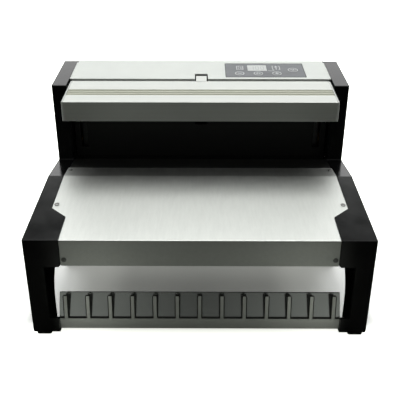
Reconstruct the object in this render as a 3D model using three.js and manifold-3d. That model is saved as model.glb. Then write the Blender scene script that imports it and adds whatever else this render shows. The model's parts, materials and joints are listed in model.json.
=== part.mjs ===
// Electric closer for twin-loop wire binding combs, a bench machine of folded sheet and mouldings.
// Millimetres. X runs across the machine, Y from its front to its back, Z up.
// The origin is on the floor, under the middle of the machine.
// "Depth" in a name is the distance back from the front plane of the side panels.
import * as THREE from 'three';
import { mergeVertices } from 'three/addons/utils/BufferGeometryUtils.js';
import Module from 'manifold-3d';

const wasm = await Module();
wasm.setup();

// Overall size and the lines that the casing follows
const machineWidth = 450;
const machineDepth = 330;
const machineHeight = 312.5;
const topSlopeDegrees = 10.4;
const plateauHeight = 176;
const plateauFromRear = 176;
const shelfFrontHeight = 148;
const upperFromRear = 107;
const fitGap = 0.3;
const cutOverrun = 3;

// Side panels: outline, rounding, arch and the moulded pocket behind
const panelThickness = 24;
const panelUnderside = 9.5;
const panelNoseRadius = 5;
const panelBrowRadius = 12;
const panelRearRadius = 4;
const panelStepRadius = 2.5;
const panelToeRadius = 3;
const panelEdgeRound = 1.2;
const panelToeRise = 6;
const panelToeInset = 3;
const legDepth = 36;
const archFromRear = 140;
const archHeight = 95;
const archRadiusShare = 0.4;
const archMouthRadius = 3;
const pocketFloor = 3;
const pocketRim = 7;
const pocketRib = 2.5;
const pocketRadius = 3;
const pocketRibsFromRear = [104, 72, 40];
const pocketRibHeights = [72, 128, 236];

// Corner block at the front of each panel, and the tongue behind the shelf lip
const blockReach = 22;
const blockDepthShare = 0.344;
const blockChamfer = 20;
const blockCornerRadius = 2.5;
const blockUnderside = 110.5;
const blockToeChamfer = 2.5;
const tongueReach = 15;
const tongueThickness = 9;
const tongueUnderside = 114;
const tongueTop = 132;

// Foot block that holds an end of the wire rack: full height in front, then sloped down to the rear
const footBlockReach = 11.8;
const footBlockTop = 32;
const footBlockFront = 3.7;
const footBlockLength = 31.7;
const footBlockCorner = 3;

// Rubber feet
const footWidth = 18.6;
const footCorner = 3;
const footEdge = 0.6;
const footSpigotRadius = 3;
const footSpigotLength = 5;
const frontFootDepth = 17.5;
const rearFootFromRear = 30;
const footInset = 12;

// Shelf plate, its rails and screws
const shelfSheet = 1.5;
const shelfSetback = 2.5;
const shelfFromRear = 143;
const shelfBendRadius = 2.5;
const shelfLipBottom = 111.7;
const railSheet = 2;
const railFlange = 20;
const railDrop = 16;
const railStart = 6;
const screwHeadRadius = 3.4;
const screwHeadHeight = 1.1;
const screwHeadEdge = 0.5;
const screwShankRadius = 1.5;
const screwLength = 7;
const screwInset = 3.8;
const screwBlockGap = 8;
const screwEdgeGap = 10.5;
const lipScrewInset = 4.6;
const lipScrewHeight = 120.8;

// Anvil, the fixed lower jaw, and the beam under it
const anvilDepth = 41.5;
const anvilHeight = 16;
const anvilChamfer = 0.8;
const beamHeight = 42;
const beamDepth = 28;
const beamWall = 4;

// Throat liner and cross frame behind the jaws
const throatFromRear = 79;
const linerSheet = 1.5;
const throatFloorDrop = 4.5;
const throatTopGap = 3.5;
const frameSheet = 3;
const frameBottom = 146;
const earLength = 20;
const earWidth = 24;
const earTopDrop = 4;

// Head, the moving upper jaw
const headFromRear = 163;
const headWallGap = 3.5;
const headDrop = 30;
const headWall = 3;
const headReturn = 10;
const headRearFlange = 9;
const headSideGap = 2;
const headEdgeRadius = 1;
const capThickness = 2;
const bandStart = 26;
const bandWidth = 22;
const bandSink = 0.6;
const grooveCount = 3;
const grooveWidth = 1.8;
const grooveSink = 1.4;
const closedJawGap = 9.5;
const tabWidth = 16.5;
const tabReach = 20.5;
const tabThickness = 3.5;
const tabOffset = 1.5;
const notchSideGap = 1.8;
const notchRearGap = 5.5;
const pressSetback = 2;
const pressDepth = 37;
const pressHeight = 15;
const pressDrop = 31.6;
const pressEndGap = 3;
const pressChamfer = 1;

// Carriage arms, guide rods and bushes
const armInset = 11;
const armThickness = 6;
const armSetback = 29;
const armRise = 33.3;
const armHeelInset = 3.5;
const armNeckInset = 0.5;
const armNeckRise = 5;
const armLugReach = 9;
const armLugLength = 26;
const armLugRise = 11;
const armSlotGap = 2.5;
const rodInset = 33;
const rodFromWall = 15;
const rodRadius = 5;
const bushWall = 1.7;
const bushFlange = 1.5;
const bossWall = 2.2;

// Rack and pinion drive
const gearModule = 2;
const pressureAngle = THREE.MathUtils.degToRad(20);
const addendumShare = 0.8;
const dedendumShare = 1.05;
const backlash = 0.35;
const liftPinionTeeth = 16;
const driveGearTeeth = 28;
const motorPinionTeeth = 12;
const shaftFromRear = 42;
const shaftHeight = 190;
const shaftRadius = 6;
const shaftChamfer = 0.8;
const gearFace = 10;
const rackFace = 8;
const rackSpine = 6.6;
const rackRise = 17;
const rackTailTeeth = 2;
const hubRadius = 10;
const hubLength = 9;
const liftPinionInset = 9;
const driveGearInset = 78;
const bearingRadius = 10.7;
const bearingFlangeRadius = 14;
const bearingFlange = 3;

// Chassis plates, base tray and rear cover
const chassisSheet = 3;
const traySheet = 2;
const trayUnderside = 14;
const traySetback = 10;
const trayFoldRadius = 2;
const rearCoverFromRear = 6;
const rearSheet = 2;
const lighteningRadius = 20;
const lighteningHeights = [70, 120];
const lighteningFromRear = 80;

// Top cover
const coverSheet = 2;
const coverFromWall = 2.5;
const coverFromRear = 1.6;
const coverFrontLip = 9;
const coverRearLip = 8;

// Keypad overlay, display window and keys, with places along the sloped cover
const overlayThickness = 0.9;
const overlayInset = 34.5;
const overlayWidth = 126;
const overlayFront = 9;
const overlayLength = 55.5;
const overlayRadius = 1.5;
const windowWidth = 32;
const windowLength = 23.3;
const windowLeftInset = 35.7;
const windowFrontInset = 24.4;
const windowFrame = 1.5;
const keyRadius = 7.5;
const keyFlangeRadius = 8.9;
const keyFlangeThickness = 1;
const keyProud = 0.6;
const keyRim = 0.3;
const keyTravel = 0.5;
const keyStemRadius = 2;
const keyStemLength = 4;
const keyInset = 22;
const keyPitch = 29.4;
const keyRowInset = 13;
const closeKeyRadius = 8.2;
const closeKeyInset = 107.8;
const closeKeyRowInset = 27.4;

// Control board under the keypad
const boardThickness = 1.6;
const boardDrop = 14;
const boardInset = 4;
const standoffRadius = 3;
const standoffInset = 4;
const switchBaseHeight = 3.4;
const switchBaseRadius = 3.5;
const displayBodyHeight = 8;

// Gear motor and its bracket
const gearboxWidth = 40;
const gearboxDepth = 52;
const gearboxTop = 174;
const gearboxBottom = 118;
const gearboxRadius = 6;
const gearboxBoss = 13;
const gearboxBossLength = 4;
const gearboxBoreLength = 14;
const outputShaftRadius = 5;
const motorRadius = 19.5;
const motorBottom = 24;
const motorEndStep = 4;
const motorEndRadius = 12;
const bracketSheet = 3;
const bracketGap = 2.2;
const bracketFlange = 36;
const bracketWindowRadius = 16;

// Transformer
const coreWidth = 66;
const coreDepth = 24;
const coreHeight = 56;
const coilWidth = 44;
const coilDepth = 50;
const coilHeight = 34;
const coilRadius = 4;
const transformerFromSwitch = 66;

// Mains inlet
const inletInset = 50.7;
const inletHeight = 48;
const inletFlangeWidth = 30.5;
const inletFlangeHeight = 24;
const inletFlange = 2;
const inletBodyWidth = 27;
const inletBodyHeight = 20;
const inletBodyLength = 21;
const inletSocketWidth = 24.4;
const inletSocketHeight = 16.6;
const inletSocketDepth = 16.5;
const inletSocketCorner = 4.5;
const inletPinWidth = 2;
const inletPinHeight = 4;
const inletPinPitch = 7;
const inletPinSetback = 5;
const inletEarthRise = 2.2;
const inletLiveDrop = 2;

// Power switch
const switchFromInlet = 44;
const switchFlangeWidth = 15;
const switchFlangeHeight = 21.5;
const switchFlange = 1.8;
const switchBodyWidth = 13.2;
const switchBodyHeight = 19.2;
const switchBodyLength = 18;
const switchWellWidth = 10.6;
const switchWellHeight = 16.3;
const switchWellDepth = 12;
const rockerSetback = 1.5;
const rockerHalfHeight = 7.1;
const rockerTip = 3.4;
const rockerTipRadius = 0.85;
const rockerDish = 2;
const rockerHeel = 4.5;
const rockerHeelHalf = 2.5;
const rockerTiltDegrees = 9;

// Rear vents
const ventCount = 9;
const ventPitch = 12;
const ventWidth = 4;
const ventLength = 34;
const ventInset = 100.7;
const ventHeights = [225, 84];

// Wire rack
const rackCombDepth = 4;
const combSheet = 1.5;
const combBottom = 12.9;
const combLipTop = 28.6;
const fingerCount = 13;
const fingerEndInset = 8.9;
const fingerWidth = 4.4;
const fingerTop = 63.2;
const fingerRadius = 1.4;
const combFloor = 28;
const rackPlateTop = 61.2;
const rackPlateFold = 27.5;
const rackPlateLeanDegrees = 22.8;
const rackPlateToe = 1.8;

// Number of flat sides that round parts get
const fineSides = 18;
const plainSides = 14;
const smallSides = 8;
const curveSteps = 4;
const panelSteps = 8;
const slotSteps = 2;
const edgeSteps = 1;

// Slopes, and the height of the sloped top and of the shelf at a distance back from the front plane
const plateauFrontDepth = machineDepth - plateauFromRear;
const topSlope = THREE.MathUtils.degToRad(topSlopeDegrees);
const shelfRise = (plateauHeight - shelfFrontHeight) / plateauFrontDepth;
const shelfSlope = Math.atan(shelfRise);

function topAt(depth) {
  return machineHeight - (machineDepth - depth) * Math.tan(topSlope);
}

function shelfAt(depth) {
  return Math.min(plateauHeight, shelfFrontHeight + depth * shelfRise);
}

// Values worked out from the sizes above
const upperFrontDepth = machineDepth - upperFromRear;
const archRearDepth = machineDepth - archFromRear;
const archRadius = archRadiusShare * (archRearDepth - legDepth);
const rearFootDepth = machineDepth - rearFootFromRear;
const shelfRearDepth = machineDepth - shelfFromRear;
const blockDepth = blockDepthShare * plateauFrontDepth;
const screwFrontDepth = blockDepth + blockChamfer + screwBlockGap;
const screwRearDepth = shelfRearDepth - screwEdgeGap;
const throatWallDepth = machineDepth - throatFromRear;
const headFrontDepth = machineDepth - headFromRear;
const headRearDepth = throatWallDepth - headWallGap;
const rodDepth = throatWallDepth + rodFromWall;
const shaftDepth = machineDepth - shaftFromRear;
const trayFrontDepth = shelfRearDepth + traySetback;
const rearCoverDepth = machineDepth - rearCoverFromRear;
const lighteningDepth = machineDepth - lighteningFromRear;
const coverFrontDepth = throatWallDepth + coverFromWall;
const coverRearDepth = machineDepth - coverFromRear;
const panelInner = machineWidth / 2 - panelThickness;
const plateHalf = panelInner - fitGap;
const chassisInner = plateHalf - chassisSheet;
const chassisFrontDepth = trayFrontDepth + traySheet + fitGap;
const anvilRearDepth = shelfRearDepth + fitGap + anvilDepth;
const anvilUnderside = plateauHeight - anvilHeight;
const throatFloor = plateauHeight - throatFloorDrop;
const throatTop = topAt(coverFrontDepth) - coverFrontLip - throatTopGap;
const pressUnderside = topAt(headFrontDepth) - pressDrop;
const headTravel = pressUnderside - plateauHeight - closedJawGap;
const armFrontDepth = headFrontDepth + armSetback;
const armHeelDepth = headRearDepth - armHeelInset;
const armNeckDepth = headRearDepth - armNeckInset;
const armLugDepth = rodDepth - armLugReach;
const armTop = pressUnderside + armRise;
const armNeckHeight = pressUnderside + armNeckRise;
const armLugTop = pressUnderside + armLugRise;
const armLugBottom = armLugTop - armLugLength;
const rackTop = pressUnderside + rackRise;
const frameFrontDepth = throatWallDepth + linerSheet + fitGap;
const frameRearDepth = frameFrontDepth + frameSheet;
const rearInnerDepth = rearCoverDepth - rearSheet;
const headHalf = panelInner - headSideGap;
const armOuter = panelInner - armInset;
const armInner = armOuter - armThickness;
const rodOffset = panelInner - rodInset;
const bushRadius = rodRadius + fitGap + bushWall;
const bossRadius = bushRadius + fitGap + bossWall;
const liftPitchRadius = gearModule * liftPinionTeeth / 2;
const rackPitchDepth = shaftDepth - liftPitchRadius;
const rackFrontDepth = rackPitchDepth - gearModule * dedendumShare - rackSpine;
const armRearDepth = rackFrontDepth - fitGap;
const liftPinionCentre = panelInner - liftPinionInset - gearFace / 2;
const driveGearCentre = panelInner - driveGearInset;
const rackCentre = liftPinionCentre;
const motorPinionHeight = shaftHeight - gearModule * (driveGearTeeth + motorPinionTeeth) / 2;
const gearboxRight = driveGearCentre - gearFace / 2 - bracketGap - bracketSheet - fitGap;
const gearboxCentre = gearboxRight - gearboxWidth / 2;
const coverSlopeLength = (coverRearDepth - coverFrontDepth) / Math.cos(topSlope);
const notchHalf = tabWidth / 2 + notchSideGap;
const overlayLeft = plateHalf - overlayInset - overlayWidth;
const inletCentre = inletInset - plateHalf;
const switchCentre = inletCentre + switchFromInlet;
const transformerCentre = switchCentre + transformerFromSwitch;
const ventCentre = plateHalf - ventInset;
const footBlockInner = panelInner - footBlockReach;
const rackHalf = footBlockInner - fitGap;
const fingerPitch = 2 * (rackHalf - fingerEndInset) / (fingerCount - 1);
const blockInner = panelInner - blockReach;

// Finishes
const finishes = {
  blackMoulding: { color: 0x17181a, roughness: 0.32, metalness: 0 },
  brushedSteel: { color: 0xc9ccc8, roughness: 0.35, metalness: 1 },
  silverPaint: { color: 0xdfe2dc, roughness: 0.45, metalness: 0.2 },
  silverExtrusion: { color: 0xd6d9d2, roughness: 0.4, metalness: 0.6 },
  darkSteel: { color: 0x4a4c4a, roughness: 0.4, metalness: 0.9 },
  blackSheet: { color: 0x0c0d0d, roughness: 0.6, metalness: 0.2 },
  zincSteel: { color: 0x9fa3a2, roughness: 0.45, metalness: 0.9 },
  rackGrey: { color: 0x6c706a, roughness: 0.45, metalness: 0.4 },
  rubber: { color: 0x121212, roughness: 0.9, metalness: 0 },
  keypadGrey: { color: 0x919297, roughness: 0.5, metalness: 0 },
  display: { color: 0xdcdfd6, roughness: 0.2, metalness: 0 },
  board: { color: 0x1f5a3a, roughness: 0.6, metalness: 0 },
  bronze: { color: 0x9a7440, roughness: 0.4, metalness: 0.9 },
  copper: { color: 0x8a5a3a, roughness: 0.6, metalness: 0.4 },
};

// Closed meshes

function signedVolume(positions, triangles) {
  const [a, b, c] = [new THREE.Vector3(), new THREE.Vector3(), new THREE.Vector3()];
  let volume = 0;
  for (let i = 0; i < triangles.length; i += 3) {
    a.fromBufferAttribute(positions, triangles[i]);
    b.fromBufferAttribute(positions, triangles[i + 1]);
    c.fromBufferAttribute(positions, triangles[i + 2]);
    volume += a.dot(b.cross(c));
  }
  return volume;
}

function closed(geometry) {
  geometry.deleteAttribute('normal');
  geometry.deleteAttribute('uv');
  const merged = mergeVertices(geometry);
  const source = merged.index.array;
  const triangles = [];
  for (let i = 0; i < source.length; i += 3) {
    const [a, b, c] = [source[i], source[i + 1], source[i + 2]];
    if (a !== b && b !== c && c !== a) {
      triangles.push(a, b, c);
    }
  }
  if (signedVolume(merged.attributes.position, triangles) < 0) {
    triangles.reverse();
  }
  merged.setIndex(triangles);
  return merged;
}

function solidOf(geometry) {
  const vertProperties = new Float32Array(geometry.attributes.position.array);
  const triVerts = new Uint32Array(geometry.index.array);
  return new wasm.Manifold(new wasm.Mesh({ numProp: 3, vertProperties, triVerts }));
}

function geometryOf(solid) {
  const { vertProperties, triVerts } = solid.getMesh();
  const geometry = new THREE.BufferGeometry();
  geometry.setAttribute('position', new THREE.BufferAttribute(vertProperties, 3));
  geometry.setIndex(new THREE.BufferAttribute(triVerts, 1));
  return geometry;
}

function join(first, ...others) {
  return geometryOf(others.reduce((solid, other) => solid.add(solidOf(other)), solidOf(first)));
}

function cut(body, ...tools) {
  return geometryOf(tools.reduce((solid, tool) => solid.subtract(solidOf(tool)), solidOf(body)));
}

function common(first, ...others) {
  return geometryOf(others.reduce((solid, other) => solid.intersect(solidOf(other)), solidOf(first)));
}

function mirrored(geometry) {
  return closed(geometry.clone().scale(-1, 1, 1));
}

function moved(geometry, x, y, z) {
  return geometry.clone().translate(x, y, z);
}

// Outlines

function filleted(corners) {
  const shape = new THREE.Shape();
  corners.forEach(([u, v, radius = 0], i) => {
    const corner = new THREE.Vector2(u, v);
    const [beforeU, beforeV] = corners.at(i - 1);
    const [afterU, afterV] = corners[(i + 1) % corners.length];
    const before = new THREE.Vector2(beforeU, beforeV).sub(corner);
    const after = new THREE.Vector2(afterU, afterV).sub(corner);
    const reach = radius / Math.tan(before.angleTo(after) / 2);
    const enter = corner.clone().addScaledVector(before.normalize(), reach);
    const leave = corner.clone().addScaledVector(after.normalize(), reach);
    if (i === 0) {
      shape.moveTo(enter.x, enter.y);
    } else {
      shape.lineTo(enter.x, enter.y);
    }
    if (radius > 0) {
      shape.quadraticCurveTo(corner.x, corner.y, leave.x, leave.y);
    }
  });
  shape.closePath();
  return shape;
}

function rectangle(left, right, bottom, top, radius = 0) {
  return filleted([
    [left, bottom, radius],
    [right, bottom, radius],
    [right, top, radius],
    [left, top, radius],
  ]);
}

function roundSlot(centreU, centreV, width, length) {
  return rectangle(
    centreU - width / 2,
    centreU + width / 2,
    centreV - length / 2,
    centreV + length / 2,
    width / 2,
  );
}

// Extrusions: an outline in the plane across the run, carried from one place to another

function extruded(shape, length, bevel, curveSegments) {
  const geometry = new THREE.ExtrudeGeometry(shape, {
    depth: length - 2 * bevel,
    bevelEnabled: bevel > 0,
    bevelThickness: bevel,
    bevelSize: bevel,
    bevelOffset: -bevel,
    bevelSegments: edgeSteps,
    curveSegments,
  });
  return geometry.translate(0, 0, bevel);
}

const xAxis = new THREE.Vector3(1, 0, 0);
const yAxis = new THREE.Vector3(0, 1, 0);
const zAxis = new THREE.Vector3(0, 0, 1);
const sideways = new THREE.Matrix4().makeBasis(yAxis, zAxis, xAxis);
const forwards = new THREE.Matrix4().makeBasis(xAxis, zAxis, yAxis.clone().negate());

// The outline is in (depth, height)
function alongX(shape, from, to, bevel = 0, steps = curveSteps) {
  return closed(extruded(shape, to - from, bevel, steps).applyMatrix4(sideways).translate(from, 0, 0));
}

// The outline is in (x, height)
function alongY(shape, from, to, bevel = 0, steps = curveSteps) {
  return closed(extruded(shape, to - from, bevel, steps).applyMatrix4(forwards).translate(0, to, 0));
}

// The outline is in (x, depth)
function alongZ(shape, from, to, bevel = 0, steps = curveSteps) {
  return closed(extruded(shape, to - from, bevel, steps).translate(0, 0, from));
}

function box(left, right, front, rear, bottom, top) {
  const geometry = new THREE.BoxGeometry(right - left, rear - front, top - bottom);
  return closed(geometry.translate((left + right) / 2, (front + rear) / 2, (bottom + top) / 2));
}

// Turned parts: the profile is in (radius, height) and is turned about an axis through a place

function turnedTo(geometry, axis, place) {
  if (axis === 'x') {
    geometry.rotateZ(-Math.PI / 2);
  }
  if (axis === 'z') {
    geometry.rotateX(Math.PI / 2);
  }
  return closed(geometry.translate(...place));
}

function cylinder(axis, radius, from, to, place, sides = plainSides) {
  const geometry = new THREE.CylinderGeometry(radius, radius, to - from, sides);
  return turnedTo(geometry.translate(0, (from + to) / 2, 0), axis, place);
}

function turned(axis, profile, place, sides = plainSides) {
  const points = profile.map(([radius, height]) => new THREE.Vector2(radius, height));
  return turnedTo(new THREE.LatheGeometry(points, sides), axis, place);
}

// Gear outlines: involute teeth, a little short, in (depth, height)

const involute = (angle) => Math.tan(angle) - angle;

function gearShape(teeth, toothAngle) {
  const pitchRadius = gearModule * teeth / 2;
  const baseRadius = pitchRadius * Math.cos(pressureAngle);
  const tipRadius = pitchRadius + gearModule * addendumShare;
  const rootRadius = pitchRadius - gearModule * dedendumShare;
  const pitchHalf = Math.PI / (2 * teeth) - backlash / (4 * pitchRadius);
  const flankHalf = (radius) => {
    const lean = Math.acos(Math.min(1, baseRadius / radius));
    return pitchHalf + involute(pressureAngle) - involute(lean);
  };
  const flank = [
    [rootRadius, flankHalf(Math.max(rootRadius, baseRadius))],
    [pitchRadius, flankHalf(pitchRadius)],
    [tipRadius, flankHalf(tipRadius)],
  ];
  const points = [];
  for (let tooth = 0; tooth < teeth; tooth += 1) {
    const middle = toothAngle + tooth * 2 * Math.PI / teeth;
    const rising = flank.map(([radius, half]) => [radius, middle - half]);
    const falling = flank.map(([radius, half]) => [radius, middle + half]).reverse();
    for (const [radius, angle] of [...rising, ...falling]) {
      points.push(new THREE.Vector2(radius * Math.cos(angle), radius * Math.sin(angle)));
    }
  }
  return new THREE.Shape(points);
}

function gear(teeth, toothAngle, boreRadius, centre, place, hubSide) {
  const [depth, height] = place;
  const shape = gearShape(teeth, toothAngle);
  const blank = alongX(shape, centre - gearFace / 2, centre + gearFace / 2);
  const hubEnd = centre + hubSide * (gearFace / 2 + hubLength);
  const hub = cylinder('x', hubRadius, Math.min(centre, hubEnd), Math.max(centre, hubEnd), [0, 0, 0]);
  const reach = gearFace + hubLength;
  const bore = cylinder('x', boreRadius, centre - reach, centre + reach, [0, 0, 0], fineSides);
  return moved(cut(join(blank, hub), bore), 0, depth, height);
}

// The object, and the way that pieces are put in it

const object = new THREE.Group();
const machine = new THREE.Group();
machine.position.y = -machineDepth / 2;
object.add(machine);

// Pieces on the sloped cover: Y runs up the slope from the cover's front edge, Z out of it
const slopedTop = new THREE.Group();
slopedTop.position.set(0, coverFrontDepth, topAt(coverFrontDepth));
slopedTop.rotation.x = topSlope;
machine.add(slopedTop);

function addPiece(name, geometry, finish, parent = machine) {
  const shown = geometry.toNonIndexed();
  shown.computeVertexNormals();
  const mesh = new THREE.Mesh(shown, new THREE.MeshStandardMaterial(finishes[finish]));
  mesh.name = name;
  parent.add(mesh);
}

function addPair(name, geometry, finish) {
  addPiece(`${name}_right`, geometry, finish);
  addPiece(`${name}_left`, mirrored(geometry), finish);
}

// Side panels

function panelOutline() {
  return filleted([
    [0, panelUnderside, panelToeRadius],
    [legDepth, panelUnderside, archMouthRadius],
    [legDepth, archHeight, archRadius],
    [archRearDepth, archHeight, archRadius],
    [archRearDepth, panelUnderside, archMouthRadius],
    [machineDepth, panelUnderside, panelToeRadius],
    [machineDepth, topAt(machineDepth), panelRearRadius],
    [upperFrontDepth, topAt(upperFrontDepth), panelBrowRadius],
    [upperFrontDepth, plateauHeight, panelStepRadius],
    [plateauFrontDepth, plateauHeight, panelToeRadius],
    [0, shelfFrontHeight, panelNoseRadius],
  ]);
}

// The pocket that a moulded panel has on its hidden side, divided by ribs
function panelPocket() {
  const bottom = panelUnderside + pocketRim;
  const rear = machineDepth - pocketRim;
  const upperFront = frameRearDepth + pocketRim;
  const shoulder = plateauHeight - pocketRim - panelStepRadius;
  const outline = filleted([
    [archRearDepth + pocketRim, bottom, pocketRadius],
    [rear, bottom, pocketRadius],
    [rear, topAt(rear) - pocketRim, pocketRadius],
    [upperFront, topAt(upperFront) - pocketRim, pocketRadius],
    [upperFront, shoulder],
    [archRearDepth + pocketRim, shoulder, pocketRadius],
  ]);
  const outerWall = machineWidth / 2 - pocketFloor;
  const pocket = alongX(outline, panelInner - cutOverrun, outerWall);
  const left = panelInner - cutOverrun;
  const right = machineWidth / 2;
  const uprights = pocketRibsFromRear.map((fromRear) => {
    const depth = machineDepth - fromRear;
    return box(left, right, depth, depth + pocketRib, 0, machineHeight);
  });
  const shelves = pocketRibHeights.map((height) => (
    box(left, right, 0, machineDepth, height, height + pocketRib)));
  return cut(pocket, ...uprights, ...shelves);
}

// The space on the inner side of the panel: all but the corner block and the foot block is cleared
function clearedSpace() {
  const tail = blockDepth + blockChamfer;
  const kept = panelInner + cutOverrun;
  const far = blockInner - tongueReach - cutOverrun;
  const plan = filleted([
    [blockInner, -cutOverrun],
    [kept, -cutOverrun],
    [kept, tail],
    [panelInner, tail],
    [blockInner, blockDepth, blockCornerRadius],
  ]);
  const face = filleted([
    [blockInner, blockUnderside + blockToeChamfer],
    [blockInner + blockToeChamfer, blockUnderside],
    [kept, blockUnderside],
    [kept, machineHeight],
    [blockInner, machineHeight],
  ]);
  const cornerBlock = common(alongZ(plan, 0, machineHeight), alongY(face, -cutOverrun, tail));
  const gusset = filleted([
    [-cutOverrun, 0],
    [footBlockLength, 0],
    [footBlockLength, panelUnderside],
    [footBlockFront, footBlockTop],
    [-cutOverrun, footBlockTop],
  ]);
  const gussetFace = filleted([
    [footBlockInner, 0],
    [kept, 0],
    [kept, footBlockTop],
    [footBlockInner, footBlockTop, footBlockCorner],
  ]);
  const footBlock = common(alongX(gusset, footBlockInner, kept), alongY(gussetFace, -cutOverrun, legDepth));
  const rear = machineDepth + cutOverrun;
  const top = machineHeight + cutOverrun;
  const space = box(far - cutOverrun, panelInner, -cutOverrun, rear, -cutOverrun, top);
  return cut(space, cornerBlock, footBlock);
}

// The tongue reaches in behind the shelf lip and takes the lip screw
function lipTongue() {
  const front = shelfSetback + shelfSheet + fitGap;
  return box(
    blockInner - tongueReach,
    blockInner + blockToeChamfer,
    front,
    front + tongueThickness,
    tongueUnderside,
    tongueTop,
  );
}

function toeChamfer() {
  const outer = machineWidth / 2;
  const outline = filleted([
    [outer - panelToeInset, panelUnderside],
    [outer, panelUnderside + panelToeRise],
    [outer + cutOverrun, panelUnderside + panelToeRise],
    [outer + cutOverrun, panelUnderside - cutOverrun],
    [outer - panelToeInset, panelUnderside - cutOverrun],
  ]);
  return alongY(outline, -cutOverrun, machineDepth + cutOverrun);
}

function sidePanel() {
  const outer = machineWidth / 2;
  const far = blockInner - tongueReach;
  const lipScrewX = blockInner - lipScrewInset;
  const lipScrewHole = cylinder(
    'y', screwShankRadius + fitGap, 0, shelfSetback + screwLength + fitGap,
    [lipScrewX, 0, lipScrewHeight], smallSides,
  );
  const footHoles = [frontFootDepth, rearFootDepth].map((depth) => cylinder(
    'z', footSpigotRadius + fitGap, panelUnderside - cutOverrun, panelUnderside + footSpigotLength,
    [outer - footInset, depth, 0], smallSides,
  ));
  const shell = cut(alongX(panelOutline(), far, outer, panelEdgeRound, panelSteps), clearedSpace());
  return cut(join(shell, lipTongue()), panelPocket(), toeChamfer(), lipScrewHole, ...footHoles);
}

function rubberFoot(depth) {
  const top = panelUnderside - fitGap;
  const middle = machineWidth / 2 - footInset;
  const reach = footWidth / 2;
  const outline = rectangle(middle - reach, middle + reach, depth - reach, depth + reach, footCorner);
  const spigotTop = top + footSpigotLength;
  const spigot = cylinder('z', footSpigotRadius, top - footEdge, spigotTop, [middle, depth, 0], smallSides);
  return join(alongZ(outline, 0, top, footEdge, edgeSteps), spigot);
}

addPair('side_panel', sidePanel(), 'blackMoulding');
addPair('front_foot', rubberFoot(frontFootDepth), 'rubber');
addPair('rear_foot', rubberFoot(rearFootDepth), 'rubber');

// Shelf plate: one folded sheet, notched round the corner blocks

function shelfPlate() {
  const slopeDrop = shelfSheet / Math.cos(shelfSlope);
  const front = shelfSetback;
  const inside = shelfSetback + shelfSheet;
  const bendShare = Math.tan(shelfSlope / 2);
  const profile = filleted([
    [front, shelfLipBottom],
    [inside, shelfLipBottom],
    [inside, shelfAt(inside) - slopeDrop, shelfBendRadius - shelfSheet],
    [plateauFrontDepth + shelfSheet * bendShare, plateauHeight - shelfSheet],
    [shelfRearDepth, plateauHeight - shelfSheet],
    [shelfRearDepth, plateauHeight],
    [plateauFrontDepth, plateauHeight],
    [front, shelfAt(front), shelfBendRadius],
  ]);
  const tail = blockDepth + blockChamfer;
  const half = (side) => [
    [side * (blockInner - fitGap), 0],
    [side * (blockInner - fitGap), blockDepth, blockCornerRadius],
    [side * plateHalf, tail],
    [side * plateHalf, shelfRearDepth],
  ];
  const plan = filleted([...half(1), ...half(-1).reverse()]);
  const sheet = common(alongX(profile, -plateHalf, plateHalf), alongZ(plan, 0, plateauHeight + cutOverrun));
  const holes = shelfScrewPlaces().flatMap((place) => [1, -1].map((side) => screwHole(place, side)));
  return cut(sheet, ...holes);
}

// Screws: each place gives where the head sits and how far the screw leans from upright
function shelfScrewPlaces() {
  return [
    { name: 'shelf_screw_front', x: plateHalf - screwInset, depth: screwFrontDepth, lean: shelfSlope },
    { name: 'shelf_screw_rear', x: plateHalf - screwInset, depth: screwRearDepth, lean: 0 },
    { name: 'lip_screw', x: blockInner - lipScrewInset, height: lipScrewHeight, lean: Math.PI / 2 },
  ];
}

function placeScrew(geometry, place, side) {
  const depth = place.depth ?? shelfSetback;
  const height = place.height ?? shelfAt(place.depth);
  return closed(geometry.rotateX(place.lean).translate(side * place.x, depth, height));
}

function screwHole(place, side) {
  const hole = cylinder('z', screwShankRadius + fitGap, -screwLength, screwLength, [0, 0, 0], smallSides);
  return placeScrew(hole, place, side);
}

function shelfScrew(place, side) {
  const head = fitGap + screwHeadHeight;
  const screw = turned('z', [
    [0, -screwLength + fitGap],
    [screwShankRadius, -screwLength + fitGap],
    [screwShankRadius, fitGap],
    [screwHeadRadius, fitGap],
    [screwHeadRadius, head - screwHeadEdge],
    [screwHeadRadius - screwHeadEdge, head],
    [0, head],
  ], [0, 0, 0]);
  return placeScrew(screw, place, side);
}

// Shelf rail: an angle that follows the underside of the plate
function shelfRail() {
  const start = blockDepth + blockChamfer + railStart;
  const sheetDrop = (shelfSheet + fitGap) / Math.cos(shelfSlope);
  const strip = (drop) => filleted([
    [start, shelfAt(start) - sheetDrop - drop],
    [plateauFrontDepth, plateauHeight - sheetDrop - drop],
    [shelfRearDepth, plateauHeight - sheetDrop - drop],
    [shelfRearDepth, plateauHeight - sheetDrop],
    [plateauFrontDepth, plateauHeight - sheetDrop],
    [start, shelfAt(start) - sheetDrop],
  ]);
  const flange = alongX(strip(railSheet), plateHalf - railFlange, plateHalf);
  const web = alongX(strip(railDrop), plateHalf - railSheet, plateHalf);
  const places = shelfScrewPlaces().filter((place) => place.depth);
  return cut(join(flange, web), ...places.map((place) => screwHole(place, 1)));
}

addPiece('shelf_plate', shelfPlate(), 'brushedSteel');
addPair('shelf_rail', shelfRail(), 'zincSteel');
for (const place of shelfScrewPlaces()) {
  addPiece(`${place.name}_right`, shelfScrew(place, 1), 'zincSteel');
  addPiece(`${place.name}_left`, shelfScrew(place, -1), 'zincSteel');
}

// Anvil and the box beam that backs it

function chamferedOutline(front, rear, bottom, top, chamfer) {
  return filleted([
    [front, bottom],
    [rear, bottom],
    [rear, top - chamfer],
    [rear - chamfer, top],
    [front + chamfer, top],
    [front, top - chamfer],
  ]);
}

function anvilBar() {
  const front = shelfRearDepth + fitGap;
  const outline = chamferedOutline(front, anvilRearDepth, anvilUnderside, plateauHeight, anvilChamfer);
  return alongX(outline, -plateHalf, plateHalf);
}

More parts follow.
